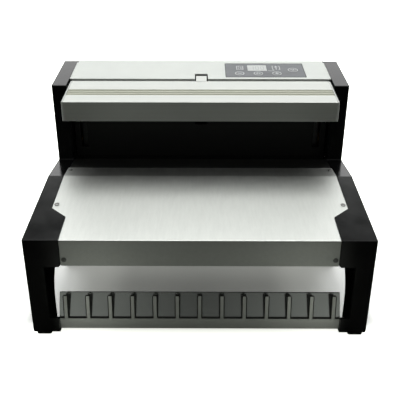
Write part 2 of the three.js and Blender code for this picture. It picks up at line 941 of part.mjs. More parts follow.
function anvilBeam() {
  const top = anvilUnderside - fitGap;
  const end = chassisInner - fitGap;
  const front = chassisFrontDepth;
  const rear = front + beamDepth;
  const outline = rectangle(front, rear, top - beamHeight, top);
  const hollow = rectangle(front + beamWall, rear - beamWall, top - beamHeight + beamWall, top - beamWall);
  outline.holes.push(hollow);
  return alongX(outline, -end, end);
}

addPiece('anvil_bar', anvilBar(), 'darkSteel');
addPiece('anvil_beam', anvilBeam(), 'zincSteel');

// Slots in the walls behind the jaws, for the carriage arms and the pointer tab
function armSlots(front, rear) {
  const bottom = armNeckHeight - headTravel - armSlotGap;
  return [1, -1].map((side) => {
    const edges = [side * (armInner - armSlotGap), side * (armOuter + armSlotGap)];
    return box(Math.min(...edges), Math.max(...edges), front, rear, bottom, machineHeight);
  });
}

function tabSlot(front, rear) {
  const bottom = topAt(headRearDepth) - tabThickness - headTravel - armSlotGap;
  return box(tabOffset - notchHalf, tabOffset + notchHalf, front, rear, bottom, machineHeight);
}

function throatLiner() {
  const rear = throatWallDepth + linerSheet;
  const front = anvilRearDepth + fitGap;
  const outline = filleted([
    [front, throatFloor - linerSheet],
    [rear, throatFloor - linerSheet],
    [rear, throatTop],
    [throatWallDepth, throatTop],
    [throatWallDepth, throatFloor],
    [front, throatFloor],
  ]);
  const slotFront = throatWallDepth - cutOverrun;
  const slotRear = rear + cutOverrun;
  const sheet = alongX(outline, -plateHalf, plateHalf);
  return cut(sheet, ...armSlots(slotFront, slotRear), tabSlot(slotFront, slotRear));
}

function crossFrame() {
  const shoulder = throatFloor - linerSheet + fitGap;
  const narrow = chassisInner - fitGap;
  const web = alongY(filleted([
    [-narrow, frameBottom],
    [narrow, frameBottom],
    [narrow, shoulder],
    [plateHalf, shoulder],
    [plateHalf, throatTop],
    [-plateHalf, throatTop],
    [-plateHalf, shoulder],
    [-narrow, shoulder],
  ]), frameFrontDepth, frameRearDepth);
  const earTop = throatTop - earTopDrop;
  const ears = [1, -1].flatMap((side) => [frameBottom + frameSheet, earTop].map((top) => box(
    side * rodOffset - earWidth / 2,
    side * rodOffset + earWidth / 2,
    frameFrontDepth,
    frameRearDepth + earLength,
    top - frameSheet,
    top,
  )));
  const rodHoles = [1, -1].map((side) => cylinder(
    'z', rodRadius + fitGap, frameBottom - cutOverrun, throatTop,
    [side * rodOffset, rodDepth, 0], fineSides,
  ));
  const slotFront = frameFrontDepth - cutOverrun;
  const slotRear = frameRearDepth + cutOverrun;
  const slots = [...armSlots(slotFront, slotRear), tabSlot(slotFront, slotRear)];
  return cut(join(web, ...ears), ...rodHoles, ...slots);
}

function guideRod() {
  const top = throatTop - earTopDrop;
  return turned('z', [
    [0, frameBottom],
    [rodRadius - shaftChamfer, frameBottom],
    [rodRadius, frameBottom + shaftChamfer],
    [rodRadius, top - shaftChamfer],
    [rodRadius - shaftChamfer, top],
    [0, top],
  ], [rodOffset, rodDepth, 0], fineSides);
}

addPiece('throat_liner', throatLiner(), 'blackSheet');
addPiece('cross_frame', crossFrame(), 'zincSteel');
addPair('guide_rod', guideRod(), 'zincSteel');

// Head: an extrusion that lies on the same slope as the top cover

function headOutline() {
  const length = (headRearDepth - headFrontDepth) / Math.cos(topSlope);
  const bandEnd = bandStart + bandWidth;
  const grooveStep = bandWidth / grooveCount;
  const grooves = [];
  for (let i = grooveCount - 1; i >= 0; i -= 1) {
    const middle = bandStart + (i + 1 / 2) * grooveStep;
    grooves.push([middle + grooveWidth / 2, -bandSink]);
    grooves.push([middle + grooveWidth / 2, -bandSink - grooveSink]);
    grooves.push([middle - grooveWidth / 2, -bandSink - grooveSink]);
    grooves.push([middle - grooveWidth / 2, -bandSink]);
  }
  return filleted([
    [0, -headDrop, headEdgeRadius],
    [headReturn, -headDrop],
    [headReturn, -headDrop + headWall],
    [headWall, -headDrop + headWall],
    [headWall, -headWall],
    [length - headWall, -headWall],
    [length - headWall, -headRearFlange],
    [length, -headRearFlange],
    [length, 0],
    [bandEnd, 0],
    [bandEnd, -bandSink],
    ...grooves,
    [bandStart, -bandSink],
    [bandStart, 0],
    [0, 0, headEdgeRadius],
  ]);
}

function onHeadSlope(geometry) {
  return closed(geometry.rotateX(topSlope).translate(0, headFrontDepth, topAt(headFrontDepth)));
}

function headShell() {
  const half = headHalf - capThickness - fitGap;
  const shell = alongX(headOutline(), -half, half);
  const length = (headRearDepth - headFrontDepth) / Math.cos(topSlope);
  const tabEnd = length + tabReach / Math.cos(topSlope);
  const tab = alongX(
    filleted([
      [length - headWall, -tabThickness],
      [tabEnd, -tabThickness],
      [tabEnd, 0, headEdgeRadius],
      [length - headWall, 0],
    ]),
    tabOffset - tabWidth / 2,
    tabOffset + tabWidth / 2,
  );
  return onHeadSlope(join(shell, tab));
}

function headCap() {
  const length = (headRearDepth - headFrontDepth) / Math.cos(topSlope);
  const outline = filleted([
    [0, -headDrop, headEdgeRadius],
    [headReturn, -headDrop],
    [length, -headRearFlange],
    [length, 0],
    [0, 0, headEdgeRadius],
  ]);
  return onHeadSlope(alongX(outline, headHalf - capThickness, headHalf));
}

function pressBeam() {
  const front = shelfRearDepth + pressSetback;
  const half = headHalf - capThickness - pressEndGap;
  return alongX(filleted([
    [front, pressUnderside + pressChamfer],
    [front + pressChamfer, pressUnderside],
    [front + pressDepth - pressChamfer, pressUnderside],
    [front + pressDepth, pressUnderside + pressChamfer],
    [front + pressDepth, pressUnderside + pressHeight],
    [front, pressUnderside + pressHeight],
  ]), -half, half);
}

function carriageArm() {
  const seat = pressUnderside + pressHeight + fitGap;
  const plate = alongX(filleted([
    [armFrontDepth, seat],
    [armHeelDepth, seat],
    [armNeckDepth, armNeckHeight],
    [armLugDepth, armNeckHeight],
    [armLugDepth, armLugBottom],
    [armRearDepth, armLugBottom],
    [armRearDepth, armTop],
    [armFrontDepth, armTop],
  ]), armInner, armOuter);
  const boss = cylinder('z', bossRadius, armLugBottom, armLugTop, [rodOffset, rodDepth, 0], fineSides);
  const bridge = box(
    rodOffset, armInner + armThickness / 2, armLugDepth, armRearDepth, armLugBottom, armLugTop,
  );
  const bore = cylinder(
    'z', bushRadius + fitGap, armLugBottom - cutOverrun, armLugTop + cutOverrun,
    [rodOffset, rodDepth, 0], fineSides,
  );
  return cut(join(plate, boss, bridge), bore);
}

function guideBush() {
  const flangeBottom = armLugBottom - fitGap - bushFlange;
  const flangeTop = armLugBottom - fitGap;
  const bore = rodRadius + fitGap;
  return turned('z', [
    [bore, flangeBottom],
    [bossRadius, flangeBottom],
    [bossRadius, flangeTop],
    [bushRadius, flangeTop],
    [bushRadius, armLugTop],
    [bore, armLugTop],
    [bore, flangeBottom],
  ], [rodOffset, rodDepth, 0], fineSides);
}

function toothedRack() {
  const pitch = Math.PI * gearModule;
  const tip = rackPitchDepth + gearModule * addendumShare;
  const root = rackPitchDepth - gearModule * dedendumShare;
  const pitchHalf = pitch / 4 - backlash / 4;
  const tipHalf = pitchHalf - gearModule * addendumShare * Math.tan(pressureAngle);
  const rootHalf = pitchHalf + gearModule * dedendumShare * Math.tan(pressureAngle);
  const teethAbove = Math.floor((rackTop - shaftHeight) / pitch);
  const bottom = shaftHeight - (rackTailTeeth + 1 / 2) * pitch;
  const points = [[rackFrontDepth, rackTop], [rackFrontDepth, bottom], [root, bottom]];
  for (let tooth = -rackTailTeeth; tooth < teethAbove; tooth += 1) {
    const middle = shaftHeight + tooth * pitch;
    points.push([root, middle - rootHalf]);
    points.push([tip, middle - tipHalf]);
    points.push([tip, middle + tipHalf]);
    points.push([root, middle + rootHalf]);
  }
  points.push([root, rackTop]);
  return alongX(filleted(points), rackCentre - rackFace / 2, rackCentre + rackFace / 2);
}

addPiece('head_shell', headShell(), 'silverExtrusion');
addPair('head_cap', headCap(), 'silverExtrusion');
addPiece('press_beam', pressBeam(), 'darkSteel');
addPair('carriage_arm', carriageArm(), 'zincSteel');
addPair('guide_bush', guideBush(), 'bronze');
addPair('toothed_rack', toothedRack(), 'darkSteel');

// Cross shaft with its lift pinions and drive gear

function crossShaft() {
  const end = plateHalf - fitGap;
  return turned('x', [
    [0, -end],
    [shaftRadius - shaftChamfer, -end],
    [shaftRadius, -end + shaftChamfer],
    [shaftRadius, end - shaftChamfer],
    [shaftRadius - shaftChamfer, end],
    [0, end],
  ], [0, shaftDepth, shaftHeight], fineSides);
}

function shaftBearing() {
  const flangeFace = chassisInner - fitGap;
  const bore = shaftRadius + fitGap;
  return turned('x', [
    [bore, flangeFace - bearingFlange],
    [bearingFlangeRadius, flangeFace - bearingFlange],
    [bearingFlangeRadius, flangeFace],
    [bearingRadius, flangeFace],
    [bearingRadius, plateHalf],
    [bore, plateHalf],
    [bore, flangeFace - bearingFlange],
  ], [0, shaftDepth, shaftHeight], fineSides);
}

const shaftPlace = [shaftDepth, shaftHeight];
const shaftBore = shaftRadius + fitGap;
const liftGapAngle = Math.PI + Math.PI / liftPinionTeeth;
const driveToothAngle = -Math.PI / 2;
const motorGapAngle = Math.PI / 2 + Math.PI / motorPinionTeeth;

const liftPinion = gear(liftPinionTeeth, liftGapAngle, shaftBore, liftPinionCentre, shaftPlace, -1);
const driveGear = gear(driveGearTeeth, driveToothAngle, shaftBore, driveGearCentre, shaftPlace, 1);

addPiece('cross_shaft', crossShaft(), 'zincSteel');
addPair('lift_pinion', liftPinion, 'darkSteel');
addPiece('drive_gear', driveGear, 'bronze');
addPair('shaft_bearing', shaftBearing(), 'bronze');

// Gear motor

function motorPinion() {
  const shape = gearShape(motorPinionTeeth, motorGapAngle);
  const teeth = alongX(shape, driveGearCentre - gearFace / 2, driveGearCentre + gearFace / 2);
  const shaftStart = gearboxRight - gearboxBoreLength + fitGap;
  const shaftEnd = driveGearCentre + gearFace / 2 + fitGap;
  const shaft = cylinder('x', outputShaftRadius, shaftStart, shaftEnd, [0, 0, 0]);
  return moved(join(teeth, shaft), 0, shaftDepth, motorPinionHeight);
}

function gearboxHousing() {
  const left = gearboxCentre - gearboxWidth / 2;
  const outline = rectangle(
    shaftDepth - gearboxDepth / 2, shaftDepth + gearboxDepth / 2, gearboxBottom, gearboxTop, gearboxRadius,
  );
  const place = [0, shaftDepth, motorPinionHeight];
  const body = alongX(outline, left, gearboxRight);
  const boss = cylinder('x', gearboxBoss, left - gearboxBossLength, left + gearboxRadius, place, fineSides);
  const bore = cylinder(
    'x', outputShaftRadius + fitGap, gearboxRight - gearboxBoreLength, gearboxRight + cutOverrun, place,
  );
  return cut(join(body, boss), bore);
}

function motor() {
  const top = gearboxBottom - fitGap;
  return turned('z', [
    [0, motorBottom - motorEndStep],
    [motorEndRadius, motorBottom - motorEndStep],
    [motorEndRadius, motorBottom],
    [motorRadius - shaftChamfer, motorBottom],
    [motorRadius, motorBottom + shaftChamfer],
    [motorRadius, top],
    [0, top],
  ], [gearboxCentre, shaftDepth, 0]);
}

function motorBracket() {
  const left = gearboxRight + fitGap;
  const front = shaftDepth - gearboxDepth / 2;
  const rear = shaftDepth + gearboxDepth / 2;
  const bottom = trayUnderside + traySheet + fitGap;
  const web = box(left, left + bracketSheet, front, rear, bottom, gearboxTop);
  const flange = box(left, left + bracketFlange, front, rear, bottom, bottom + bracketSheet);
  const window = cylinder(
    'x', bracketWindowRadius, left - cutOverrun, left + bracketSheet + cutOverrun,
    [0, shaftDepth, motorPinionHeight], fineSides,
  );
  return cut(join(web, flange), window);
}

addPiece('motor_pinion', motorPinion(), 'darkSteel');
addPiece('gearbox_housing', gearboxHousing(), 'zincSteel');
addPiece('motor', motor(), 'darkSteel');
addPiece('motor_bracket', motorBracket(), 'zincSteel');

// Transformer: laminated core with the winding through it

function transformer() {
  const bottom = trayUnderside + traySheet + fitGap;
  const middle = bottom + coreHeight / 2;
  const core = box(
    transformerCentre - coreWidth / 2, transformerCentre + coreWidth / 2,
    shaftDepth - coreDepth / 2, shaftDepth + coreDepth / 2, bottom, bottom + coreHeight,
  );
  const coilOutline = rectangle(
    transformerCentre - coilWidth / 2, transformerCentre + coilWidth / 2,
    shaftDepth - coilDepth / 2, shaftDepth + coilDepth / 2, coilRadius,
  );
  return join(core, alongZ(coilOutline, middle - coilHeight / 2, middle + coilHeight / 2));
}

addPiece('transformer', transformer(), 'copper');

// Chassis plates, base tray and rear cover

function chassisPlate() {
  const bottom = trayUnderside;
  const rear = rearInnerDepth - fitGap;
  const underCover = (coverSheet + fitGap) / Math.cos(topSlope);
  const upperFront = frameRearDepth + fitGap;
  const shoulder = throatFloor - linerSheet - fitGap;
  const anvilStep = anvilUnderside - fitGap;
  const plate = alongX(filleted([
    [chassisFrontDepth, bottom],
    [rear, bottom],
    [rear, topAt(rear) - underCover],
    [upperFront, topAt(upperFront) - underCover],
    [upperFront, shoulder],
    [anvilRearDepth + fitGap, shoulder],
    [anvilRearDepth + fitGap, anvilStep],
    [chassisFrontDepth, anvilStep],
  ]), chassisInner, plateHalf);
  const left = chassisInner - cutOverrun;
  const right = plateHalf + cutOverrun;
  const bearingHole = cylinder(
    'x', bearingRadius + fitGap, left, right, [0, shaftDepth, shaftHeight], fineSides,
  );
  const lightening = lighteningHeights.map((height) => cylinder(
    'x', lighteningRadius, left, right, [0, lighteningDepth, height], fineSides,
  ));
  return cut(plate, bearingHole, ...lightening);
}

function baseTray() {
  const rear = rearInnerDepth - fitGap;
  const wallTop = anvilUnderside - fitGap;
  const outline = filleted([
    [trayFrontDepth, trayUnderside, trayFoldRadius],
    [rear, trayUnderside],
    [rear, trayUnderside + traySheet],
    [trayFrontDepth + traySheet, trayUnderside + traySheet],
    [trayFrontDepth + traySheet, wallTop],
    [trayFrontDepth, wallTop],
  ]);
  const half = chassisInner - fitGap;
  return alongX(outline, -half, half);
}

function rearCover() {
  const top = topAt(rearInnerDepth) - (coverSheet + fitGap) / Math.cos(topSlope);
  const outline = rectangle(-plateHalf, plateHalf, trayUnderside, top);
  outline.holes.push(rectangle(
    inletCentre - inletBodyWidth / 2 - fitGap, inletCentre + inletBodyWidth / 2 + fitGap,
    inletHeight - inletBodyHeight / 2 - fitGap, inletHeight + inletBodyHeight / 2 + fitGap,
  ));
  outline.holes.push(rectangle(
    switchCentre - switchBodyWidth / 2 - fitGap, switchCentre + switchBodyWidth / 2 + fitGap,
    inletHeight - switchBodyHeight / 2 - fitGap, inletHeight + switchBodyHeight / 2 + fitGap,
  ));
  for (const height of ventHeights) {
    for (let i = 0; i < ventCount; i += 1) {
      const x = ventCentre + (i - (ventCount - 1) / 2) * ventPitch;
      outline.holes.push(roundSlot(x, height, ventWidth, ventLength));
    }
  }
  return alongY(outline, rearInnerDepth, rearCoverDepth, 0, slotSteps);
}

addPair('chassis_plate', chassisPlate(), 'zincSteel');
addPiece('base_tray', baseTray(), 'blackSheet');
addPiece('rear_cover', rearCover(), 'blackSheet');

// Mains inlet: a flanged socket with three blades

function powerInlet() {
  const flangeFront = rearCoverDepth + fitGap;
  const face = flangeFront + inletFlange;
  const across = (width, height, radius = 0) => rectangle(
    inletCentre - width / 2, inletCentre + width / 2,
    inletHeight - height / 2, inletHeight + height / 2, radius,
  );
  const flange = alongY(across(inletFlangeWidth, inletFlangeHeight, inletFlange), flangeFront, face);
  const bodyFront = rearCoverDepth - inletBodyLength;
  const body = alongY(across(inletBodyWidth, inletBodyHeight), bodyFront, flangeFront + inletFlange / 2);
  const halfWidth = inletSocketWidth / 2;
  const halfHeight = inletSocketHeight / 2;
  const socket = alongY(filleted([
    [inletCentre - halfWidth, inletHeight - halfHeight],
    [inletCentre + halfWidth, inletHeight - halfHeight],
    [inletCentre + halfWidth, inletHeight + halfHeight - inletSocketCorner],
    [inletCentre + halfWidth - inletSocketCorner, inletHeight + halfHeight],
    [inletCentre - halfWidth + inletSocketCorner, inletHeight + halfHeight],
    [inletCentre - halfWidth, inletHeight + halfHeight - inletSocketCorner],
  ]), face - inletSocketDepth, face + cutOverrun);
  const blades = [-1, 0, 1].map((place) => {
    const x = inletCentre + place * inletPinPitch;
    const z = inletHeight + (place === 0 ? inletEarthRise : -inletLiveDrop);
    return box(
      x - inletPinWidth / 2, x + inletPinWidth / 2,
      face - inletSocketDepth - inletFlange, face - inletPinSetback,
      z - inletPinHeight / 2, z + inletPinHeight / 2,
    );
  });
  return join(cut(join(flange, body), socket), ...blades);
}

// Power switch: a bezel with a well, and the rocker in it

function switchFrame() {
  const flangeFront = rearCoverDepth + fitGap;
  const face = flangeFront + switchFlange;
  const across = (width, height, radius = 0) => rectangle(
    switchCentre - width / 2, switchCentre + width / 2,
    inletHeight - height / 2, inletHeight + height / 2, radius,
  );
  const flange = alongY(across(switchFlangeWidth, switchFlangeHeight, switchFlange), flangeFront, face);
  const bodyFront = rearCoverDepth - switchBodyLength;
  const body = alongY(across(switchBodyWidth, switchBodyHeight), bodyFront, flangeFront + switchFlange / 2);
  const well = alongY(across(switchWellWidth, switchWellHeight), face - switchWellDepth, face + cutOverrun);
  return cut(join(flange, body), well);
}

function powerRocker() {
  const half = switchWellWidth / 2 - fitGap;
  const rocker = alongX(filleted([
    [rockerTip, -rockerHalfHeight, rockerTipRadius],
    [rockerDish, 0],
    [rockerTip, rockerHalfHeight, rockerTipRadius],
    [-rockerDish, rockerHalfHeight],
    [-rockerHeel, rockerHeelHalf],
    [-rockerHeel, -rockerHeelHalf],
    [-rockerDish, -rockerHalfHeight],
  ]), -half, half);
  rocker.rotateX(THREE.MathUtils.degToRad(rockerTiltDegrees));
  return moved(rocker, switchCentre, rearCoverDepth - rockerSetback, inletHeight);
}

addPiece('power_inlet', powerInlet(), 'blackMoulding');
addPiece('switch_frame', switchFrame(), 'blackMoulding');
addPiece('power_rocker', powerRocker(), 'blackMoulding');

// Top cover and everything on its slope

const keys = ['key_minus', 'key_open', 'key_plus'].map((name, i) => ({
  name,
  x: overlayLeft + keyInset + i * keyPitch,
  y: overlayFront + keyRowInset,
  radius: keyRadius,
}));
keys.push({
  name: 'key_close',
  x: overlayLeft + closeKeyInset,
  y: overlayFront + closeKeyRowInset,
  radius: closeKeyRadius,
});
const windowLeft = overlayLeft + windowLeftInset;
const windowFront = overlayFront + windowFrontInset;
const recessFloor = -overlayThickness - fitGap;

function keyHoles(gap) {
  return keys.map(({ x, y, radius }) => cylinder(
    'z', radius + gap, -coverSheet - cutOverrun, cutOverrun, [x, y, 0], fineSides,
  ));
}

function topCover() {
  const sheet = box(-plateHalf, plateHalf, 0, coverSlopeLength, -coverSheet, 0);
  const lipHalf = chassisInner - fitGap;
  const frontLip = box(-lipHalf, lipHalf, 0, coverSheet, -coverFrontLip, 0);
  const rearLip = box(
    -plateHalf, plateHalf, coverSlopeLength - coverSheet, coverSlopeLength, -coverRearLip, 0,
  );
  const notchRear = (headRearDepth + tabReach + notchRearGap - coverFrontDepth) / Math.cos(topSlope);
  const notch = box(
    tabOffset - notchHalf, tabOffset + notchHalf, -cutOverrun, notchRear,
    -coverFrontLip - cutOverrun, cutOverrun,
  );
  const recess = alongZ(
    rectangle(
      overlayLeft - fitGap, overlayLeft + overlayWidth + fitGap,
      overlayFront - fitGap, overlayFront + overlayLength + fitGap, overlayRadius,
    ),
    recessFloor,
    cutOverrun,
  );
  const window = box(
    windowLeft + windowFrame, windowLeft + windowWidth - windowFrame,
    windowFront + windowFrame, windowFront + windowLength - windowFrame,
    -coverSheet - cutOverrun, cutOverrun,
  );
  return cut(join(sheet, frontLip, rearLip), notch, recess, window, ...keyHoles(fitGap));
}

function keypadOverlay() {
  const sheet = alongZ(
    rectangle(
      overlayLeft, overlayLeft + overlayWidth,
      overlayFront, overlayFront + overlayLength, overlayRadius,
    ),
    -overlayThickness,
    0,
  );
  const window = box(
    windowLeft - fitGap, windowLeft + windowWidth + fitGap,
    windowFront - fitGap, windowFront + windowLength + fitGap, -cutOverrun, cutOverrun,
  );
  return cut(sheet, window, ...keyHoles(fitGap));
}

function displayWindow() {
  return box(
    windowLeft, windowLeft + windowWidth, windowFront, windowFront + windowLength, -overlayThickness, 0,
  );
}

// A key: cap, the flange that keeps it under the cover, and the stem that works its switch
function key({ x, y, radius }) {
  const flangeTop = -coverSheet - fitGap;
  const flangeBottom = flangeTop - keyFlangeThickness;
  const flangeRadius = radius + keyFlangeRadius - keyRadius;
  return turned('z', [
    [0, flangeBottom - keyStemLength],
    [keyStemRadius, flangeBottom - keyStemLength],
    [keyStemRadius, flangeBottom],
    [flangeRadius, flangeBottom],
    [flangeRadius, flangeTop],
    [radius, flangeTop],
    [radius, keyProud - keyRim],
    [radius - keyRim, keyProud],
    [0, keyProud],
  ], [x, y, 0], fineSides);
}

// The board hangs from the cover on four standoffs and carries the switches and the display
function controlBoard() {
  const top = -boardDrop;
  const front = overlayFront + boardInset;
  const rear = overlayFront + overlayLength - boardInset;
  const left = overlayLeft + boardInset;
  const right = overlayLeft + overlayWidth - boardInset;
  const plate = box(left, right, front, rear, top - boardThickness, top);
  const overlap = boardThickness / 2;
  const posts = [left + standoffInset, right - standoffInset].flatMap((x) => (
    [front + standoffInset, rear - standoffInset].map((y) => cylinder(
      'z', standoffRadius, top - overlap, -coverSheet - fitGap, [x, y, 0], smallSides,
    ))));
  const stemBottom = -coverSheet - fitGap - keyFlangeThickness - keyStemLength;
  const switchTop = stemBottom - keyTravel - fitGap;
  const switches = keys.map(({ x, y }) => cylinder(
    'z', keyStemRadius, top - overlap, switchTop, [x, y, 0], smallSides,
  ));
  const bases = keys.map(({ x, y }) => cylinder(
    'z', switchBaseRadius, top - overlap, top + switchBaseHeight, [x, y, 0], smallSides,
  ));
  const display = box(
    windowLeft + windowFrame, windowLeft + windowWidth - windowFrame,
    windowFront + windowFrame, windowFront + windowLength - windowFrame,
    top - overlap, top + displayBodyHeight,
  );
  return join(plate, ...posts, ...bases, ...switches, display);
}

addPiece('top_cover', topCover(), 'silverPaint', slopedTop);
addPiece('keypad_overlay', keypadOverlay(), 'keypadGrey', slopedTop);
addPiece('display_window', displayWindow(), 'display', slopedTop);
addPiece('control_board', controlBoard(), 'board', slopedTop);
for (const place of keys) {
  addPiece(place.name, key(place), 'keypadGrey', slopedTop);
}

// Wire rack: a comb that holds the wire by its loops, and the plate that it leans against

function rackComb() {
  const front = rackCombDepth;
  const rear = front + combSheet;
  const lip = rectangle(-rackHalf, rackHalf, combBottom, combLipTop);
  const fingers = [];
  for (let i = 0; i < fingerCount; i += 1) {
    const x = (i - (fingerCount - 1) / 2) * fingerPitch;
    fingers.push(alongY(filleted([
      [x - fingerWidth / 2, combBottom + combSheet],
      [x + fingerWidth / 2, combBottom + combSheet],
      [x + fingerWidth / 2, fingerTop, fingerRadius],
      [x - fingerWidth / 2, fingerTop, fingerRadius],
    ]), front, rear));
  }
  const floor = box(-rackHalf, rackHalf, front, front + combFloor, combBottom, combBottom + combSheet);
  return join(alongY(lip, front, rear), floor, ...fingers);
}

function rackPlate() {
  const bottom = combBottom + combSheet + fitGap;
  const front = rackCombDepth + combSheet + rackPlateToe;
  const rear = rackCombDepth + combFloor;
  const angle = THREE.MathUtils.degToRad(rackPlateLeanDegrees);
  const lean = Math.tan(angle);
  const thickness = combSheet / Math.cos(angle);
  const topShift = (rackPlateTop - rackPlateFold) * lean;
  return alongX(filleted([
    [front, bottom],
    [rear, bottom],
    [rear, bottom + combSheet],
    [front + combSheet, bottom + combSheet],
    [front + combSheet, rackPlateFold - (thickness - combSheet) / lean],
    [front + thickness + topShift, rackPlateTop],
    [front + topShift, rackPlateTop],
    [front, rackPlateFold],
  ]), -rackHalf, rackHalf);
}

addPiece('wire_rack_comb', rackComb(), 'rackGrey');
addPiece('wire_rack_plate', rackPlate(), 'rackGrey');

export default object;
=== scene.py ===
import json
import math

import bpy
import bmesh
from mathutils import Matrix, Vector
from mathutils.geometry import tessellate_polygon

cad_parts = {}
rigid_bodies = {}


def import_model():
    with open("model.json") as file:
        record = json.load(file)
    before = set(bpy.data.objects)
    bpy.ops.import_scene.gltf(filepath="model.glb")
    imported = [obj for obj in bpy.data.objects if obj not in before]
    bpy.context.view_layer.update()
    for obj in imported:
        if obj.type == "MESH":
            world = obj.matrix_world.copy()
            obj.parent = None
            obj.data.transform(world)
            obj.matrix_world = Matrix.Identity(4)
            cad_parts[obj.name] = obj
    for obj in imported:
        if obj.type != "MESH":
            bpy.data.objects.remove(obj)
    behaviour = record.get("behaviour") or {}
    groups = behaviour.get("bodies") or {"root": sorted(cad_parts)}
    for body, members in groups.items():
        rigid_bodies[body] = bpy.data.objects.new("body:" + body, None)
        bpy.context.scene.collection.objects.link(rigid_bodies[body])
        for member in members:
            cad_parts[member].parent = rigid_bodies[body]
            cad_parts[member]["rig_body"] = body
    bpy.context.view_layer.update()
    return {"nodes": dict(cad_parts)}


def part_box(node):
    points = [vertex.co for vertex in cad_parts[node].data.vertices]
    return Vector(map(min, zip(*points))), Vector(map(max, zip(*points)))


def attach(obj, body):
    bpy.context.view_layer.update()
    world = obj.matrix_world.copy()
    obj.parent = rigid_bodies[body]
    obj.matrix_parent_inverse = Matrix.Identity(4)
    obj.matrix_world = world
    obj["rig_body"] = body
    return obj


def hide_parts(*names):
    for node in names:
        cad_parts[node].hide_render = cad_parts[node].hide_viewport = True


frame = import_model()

# Sizes in millimetres, as in the part's source. A depth is the distance back from the front plane.
MM = 0.001
MACHINE_DEPTH = 330
MACHINE_HEIGHT = 312.5
TOP_SLOPE = math.radians(10.4)
HALF_WIDTH = 225
UNDERSIDE = 8.7
PANEL_INNER = 201
HORN_INNER = 203.2
PLATE_HALF = 200.7
SHELF_HALF = 201.9
PLATEAU_HEIGHT = 176
PLATEAU_DEPTH = 154
SHELF_FRONT_HEIGHT = 148
SHELF_RISE = (PLATEAU_HEIGHT - SHELF_FRONT_HEIGHT) / PLATEAU_DEPTH
SHELF_SLOPE = math.atan(SHELF_RISE)
SHELF_REAR = 187
LIP_BOTTOM = 111.7
BLOCK_INNER = 179.5
BLOCK_DEPTH = 52
BLOCK_TAIL = 71.8
LIP_FACE = 2.5
SHEET = 1.5
LEG_DEPTH = 36
ARCH_REAR = 190
ARCH_TOP = 95
ARCH_RADIUS = 61.6
HORN_FRONT = 225
COVER_FRONT = 253.5
REAR_COVER_FACE = 322
REAR_COVER_BACK = 324
HEAD_FRONT = 170.2
HEAD_REAR = 244.9
HEAD_HALF = 199.8
FIT = 0.3


def top_at(depth):
    return MACHINE_HEIGHT - (MACHINE_DEPTH - depth) * math.tan(TOP_SLOPE)


def shelf_at(depth):
    return min(PLATEAU_HEIGHT, SHELF_FRONT_HEIGHT + depth * SHELF_RISE)


def placed(x, depth, height):
    """A place on the machine, in metres."""
    return Vector((x, depth - MACHINE_DEPTH / 2, height)) * MM


# Outlines, in the plane across a piece's run

def filleted(corners, steps=8):
    """Corners are (u, v) or (u, v, radius)."""
    points = []
    for i, corner in enumerate(corners):
        here = Vector(corner[:2])
        radius = corner[2] if len(corner) > 2 else 0
        if radius == 0:
            points.append(here)
            continue
        before = Vector(corners[i - 1][:2]) - here
        after = Vector(corners[(i + 1) % len(corners)][:2]) - here
        reach = radius / math.tan(before.angle(after) / 2)
        enter = here + before.normalized() * reach
        leave = here + after.normalized() * reach
        for k in range(steps + 1):
            t = k / steps
            points.append(enter.lerp(here, t).lerp(here.lerp(leave, t), t))
    return points


def rectangle(left, right, bottom, top, radius=0, steps=6):
    return filleted(
        [(left, bottom, radius), (right, bottom, radius), (right, top, radius), (left, top, radius)], steps)


def circle(centre_u, centre_v, radius, sides=64):
    return [
        Vector((centre_u + radius * math.cos(2 * math.pi * k / sides),
                centre_v + radius * math.sin(2 * math.pi * k / sides)))
        for k in range(sides)
    ]


# Meshes. An outline's (u, v) lies across the run, and w is the distance along it.

def new_mesh(verts, faces):
    mesh = bpy.data.meshes.new("piece")
    mesh.from_pydata([tuple(v) for v in verts], [], faces)
    bm = bmesh.new()
    bm.from_mesh(mesh)
    bmesh.ops.recalc_face_normals(bm, faces=bm.faces)
    bm.to_mesh(mesh)
    bm.free()
    return mesh


def along_x(u, v, w):
    return placed(w, u, v)


def along_y(u, v, w):
    return placed(u, w, v)


def along_z(u, v, w):
    return placed(u, v, w)


def prism(outline, start, end, run=along_x, holes=()):
    """An outline, with any holes, carried from start to end along the run."""
    loops = [outline, *holes]
    flat = [p for loop in loops for p in loop]
    count = len(flat)
    verts = [run(p.x, p.y, w) for w in (start, end) for p in flat]
    if holes:
        fill = tessellate_polygon([[Vector((p.x, p.y, 0)) for p in loop] for loop in loops])
    else:
        fill = [range(count)]
    faces = [tuple(f) for f in fill] + [tuple(i + count for i in f) for f in fill]
    first = 0
    for loop in loops:
        for k in range(len(loop)):
            a, b = first + k, first + (k + 1) % len(loop)
            faces.append((a, b, b + count, a + count))
        first += len(loop)
    return new_mesh(verts, faces)


def lathe(profile, sides=48, matrix=None):
    """A closed profile of (radius, height) turned about Z. It may start and end on the axis."""
    matrix = matrix or Matrix.Identity(4)
    bm = bmesh.new()
    rings = []
    for radius, height in profile:
        if radius == 0:
            rings.append([bm.verts.new((0, 0, height * MM))])
            continue
        rings.append([
            bm.verts.new((
                radius * MM * math.cos(2 * math.pi * k / sides),
                radius * MM * math.sin(2 * math.pi * k / sides),
                height * MM))
            for k in range(sides)
        ])
    pairs = list(zip(rings, rings[1:]))
    if profile[0][0] > 0:
        pairs.append((rings[-1], rings[0]))
    for low, high in pairs:
        for k in range(sides):
            n = (k + 1) % sides
            corners = [low[k % len(low)], low[n % len(low)], high[n % len(high)], high[k % len(high)]]
            unique = list(dict.fromkeys(corners))
            if len(unique) > 2:
                bm.faces.new(unique)
    bmesh.ops.recalc_face_normals(bm, faces=bm.faces)
    bm.transform(matrix)
    mesh = bpy.data.meshes.new("piece")
    bm.to_mesh(mesh)
    bm.free()
    return mesh


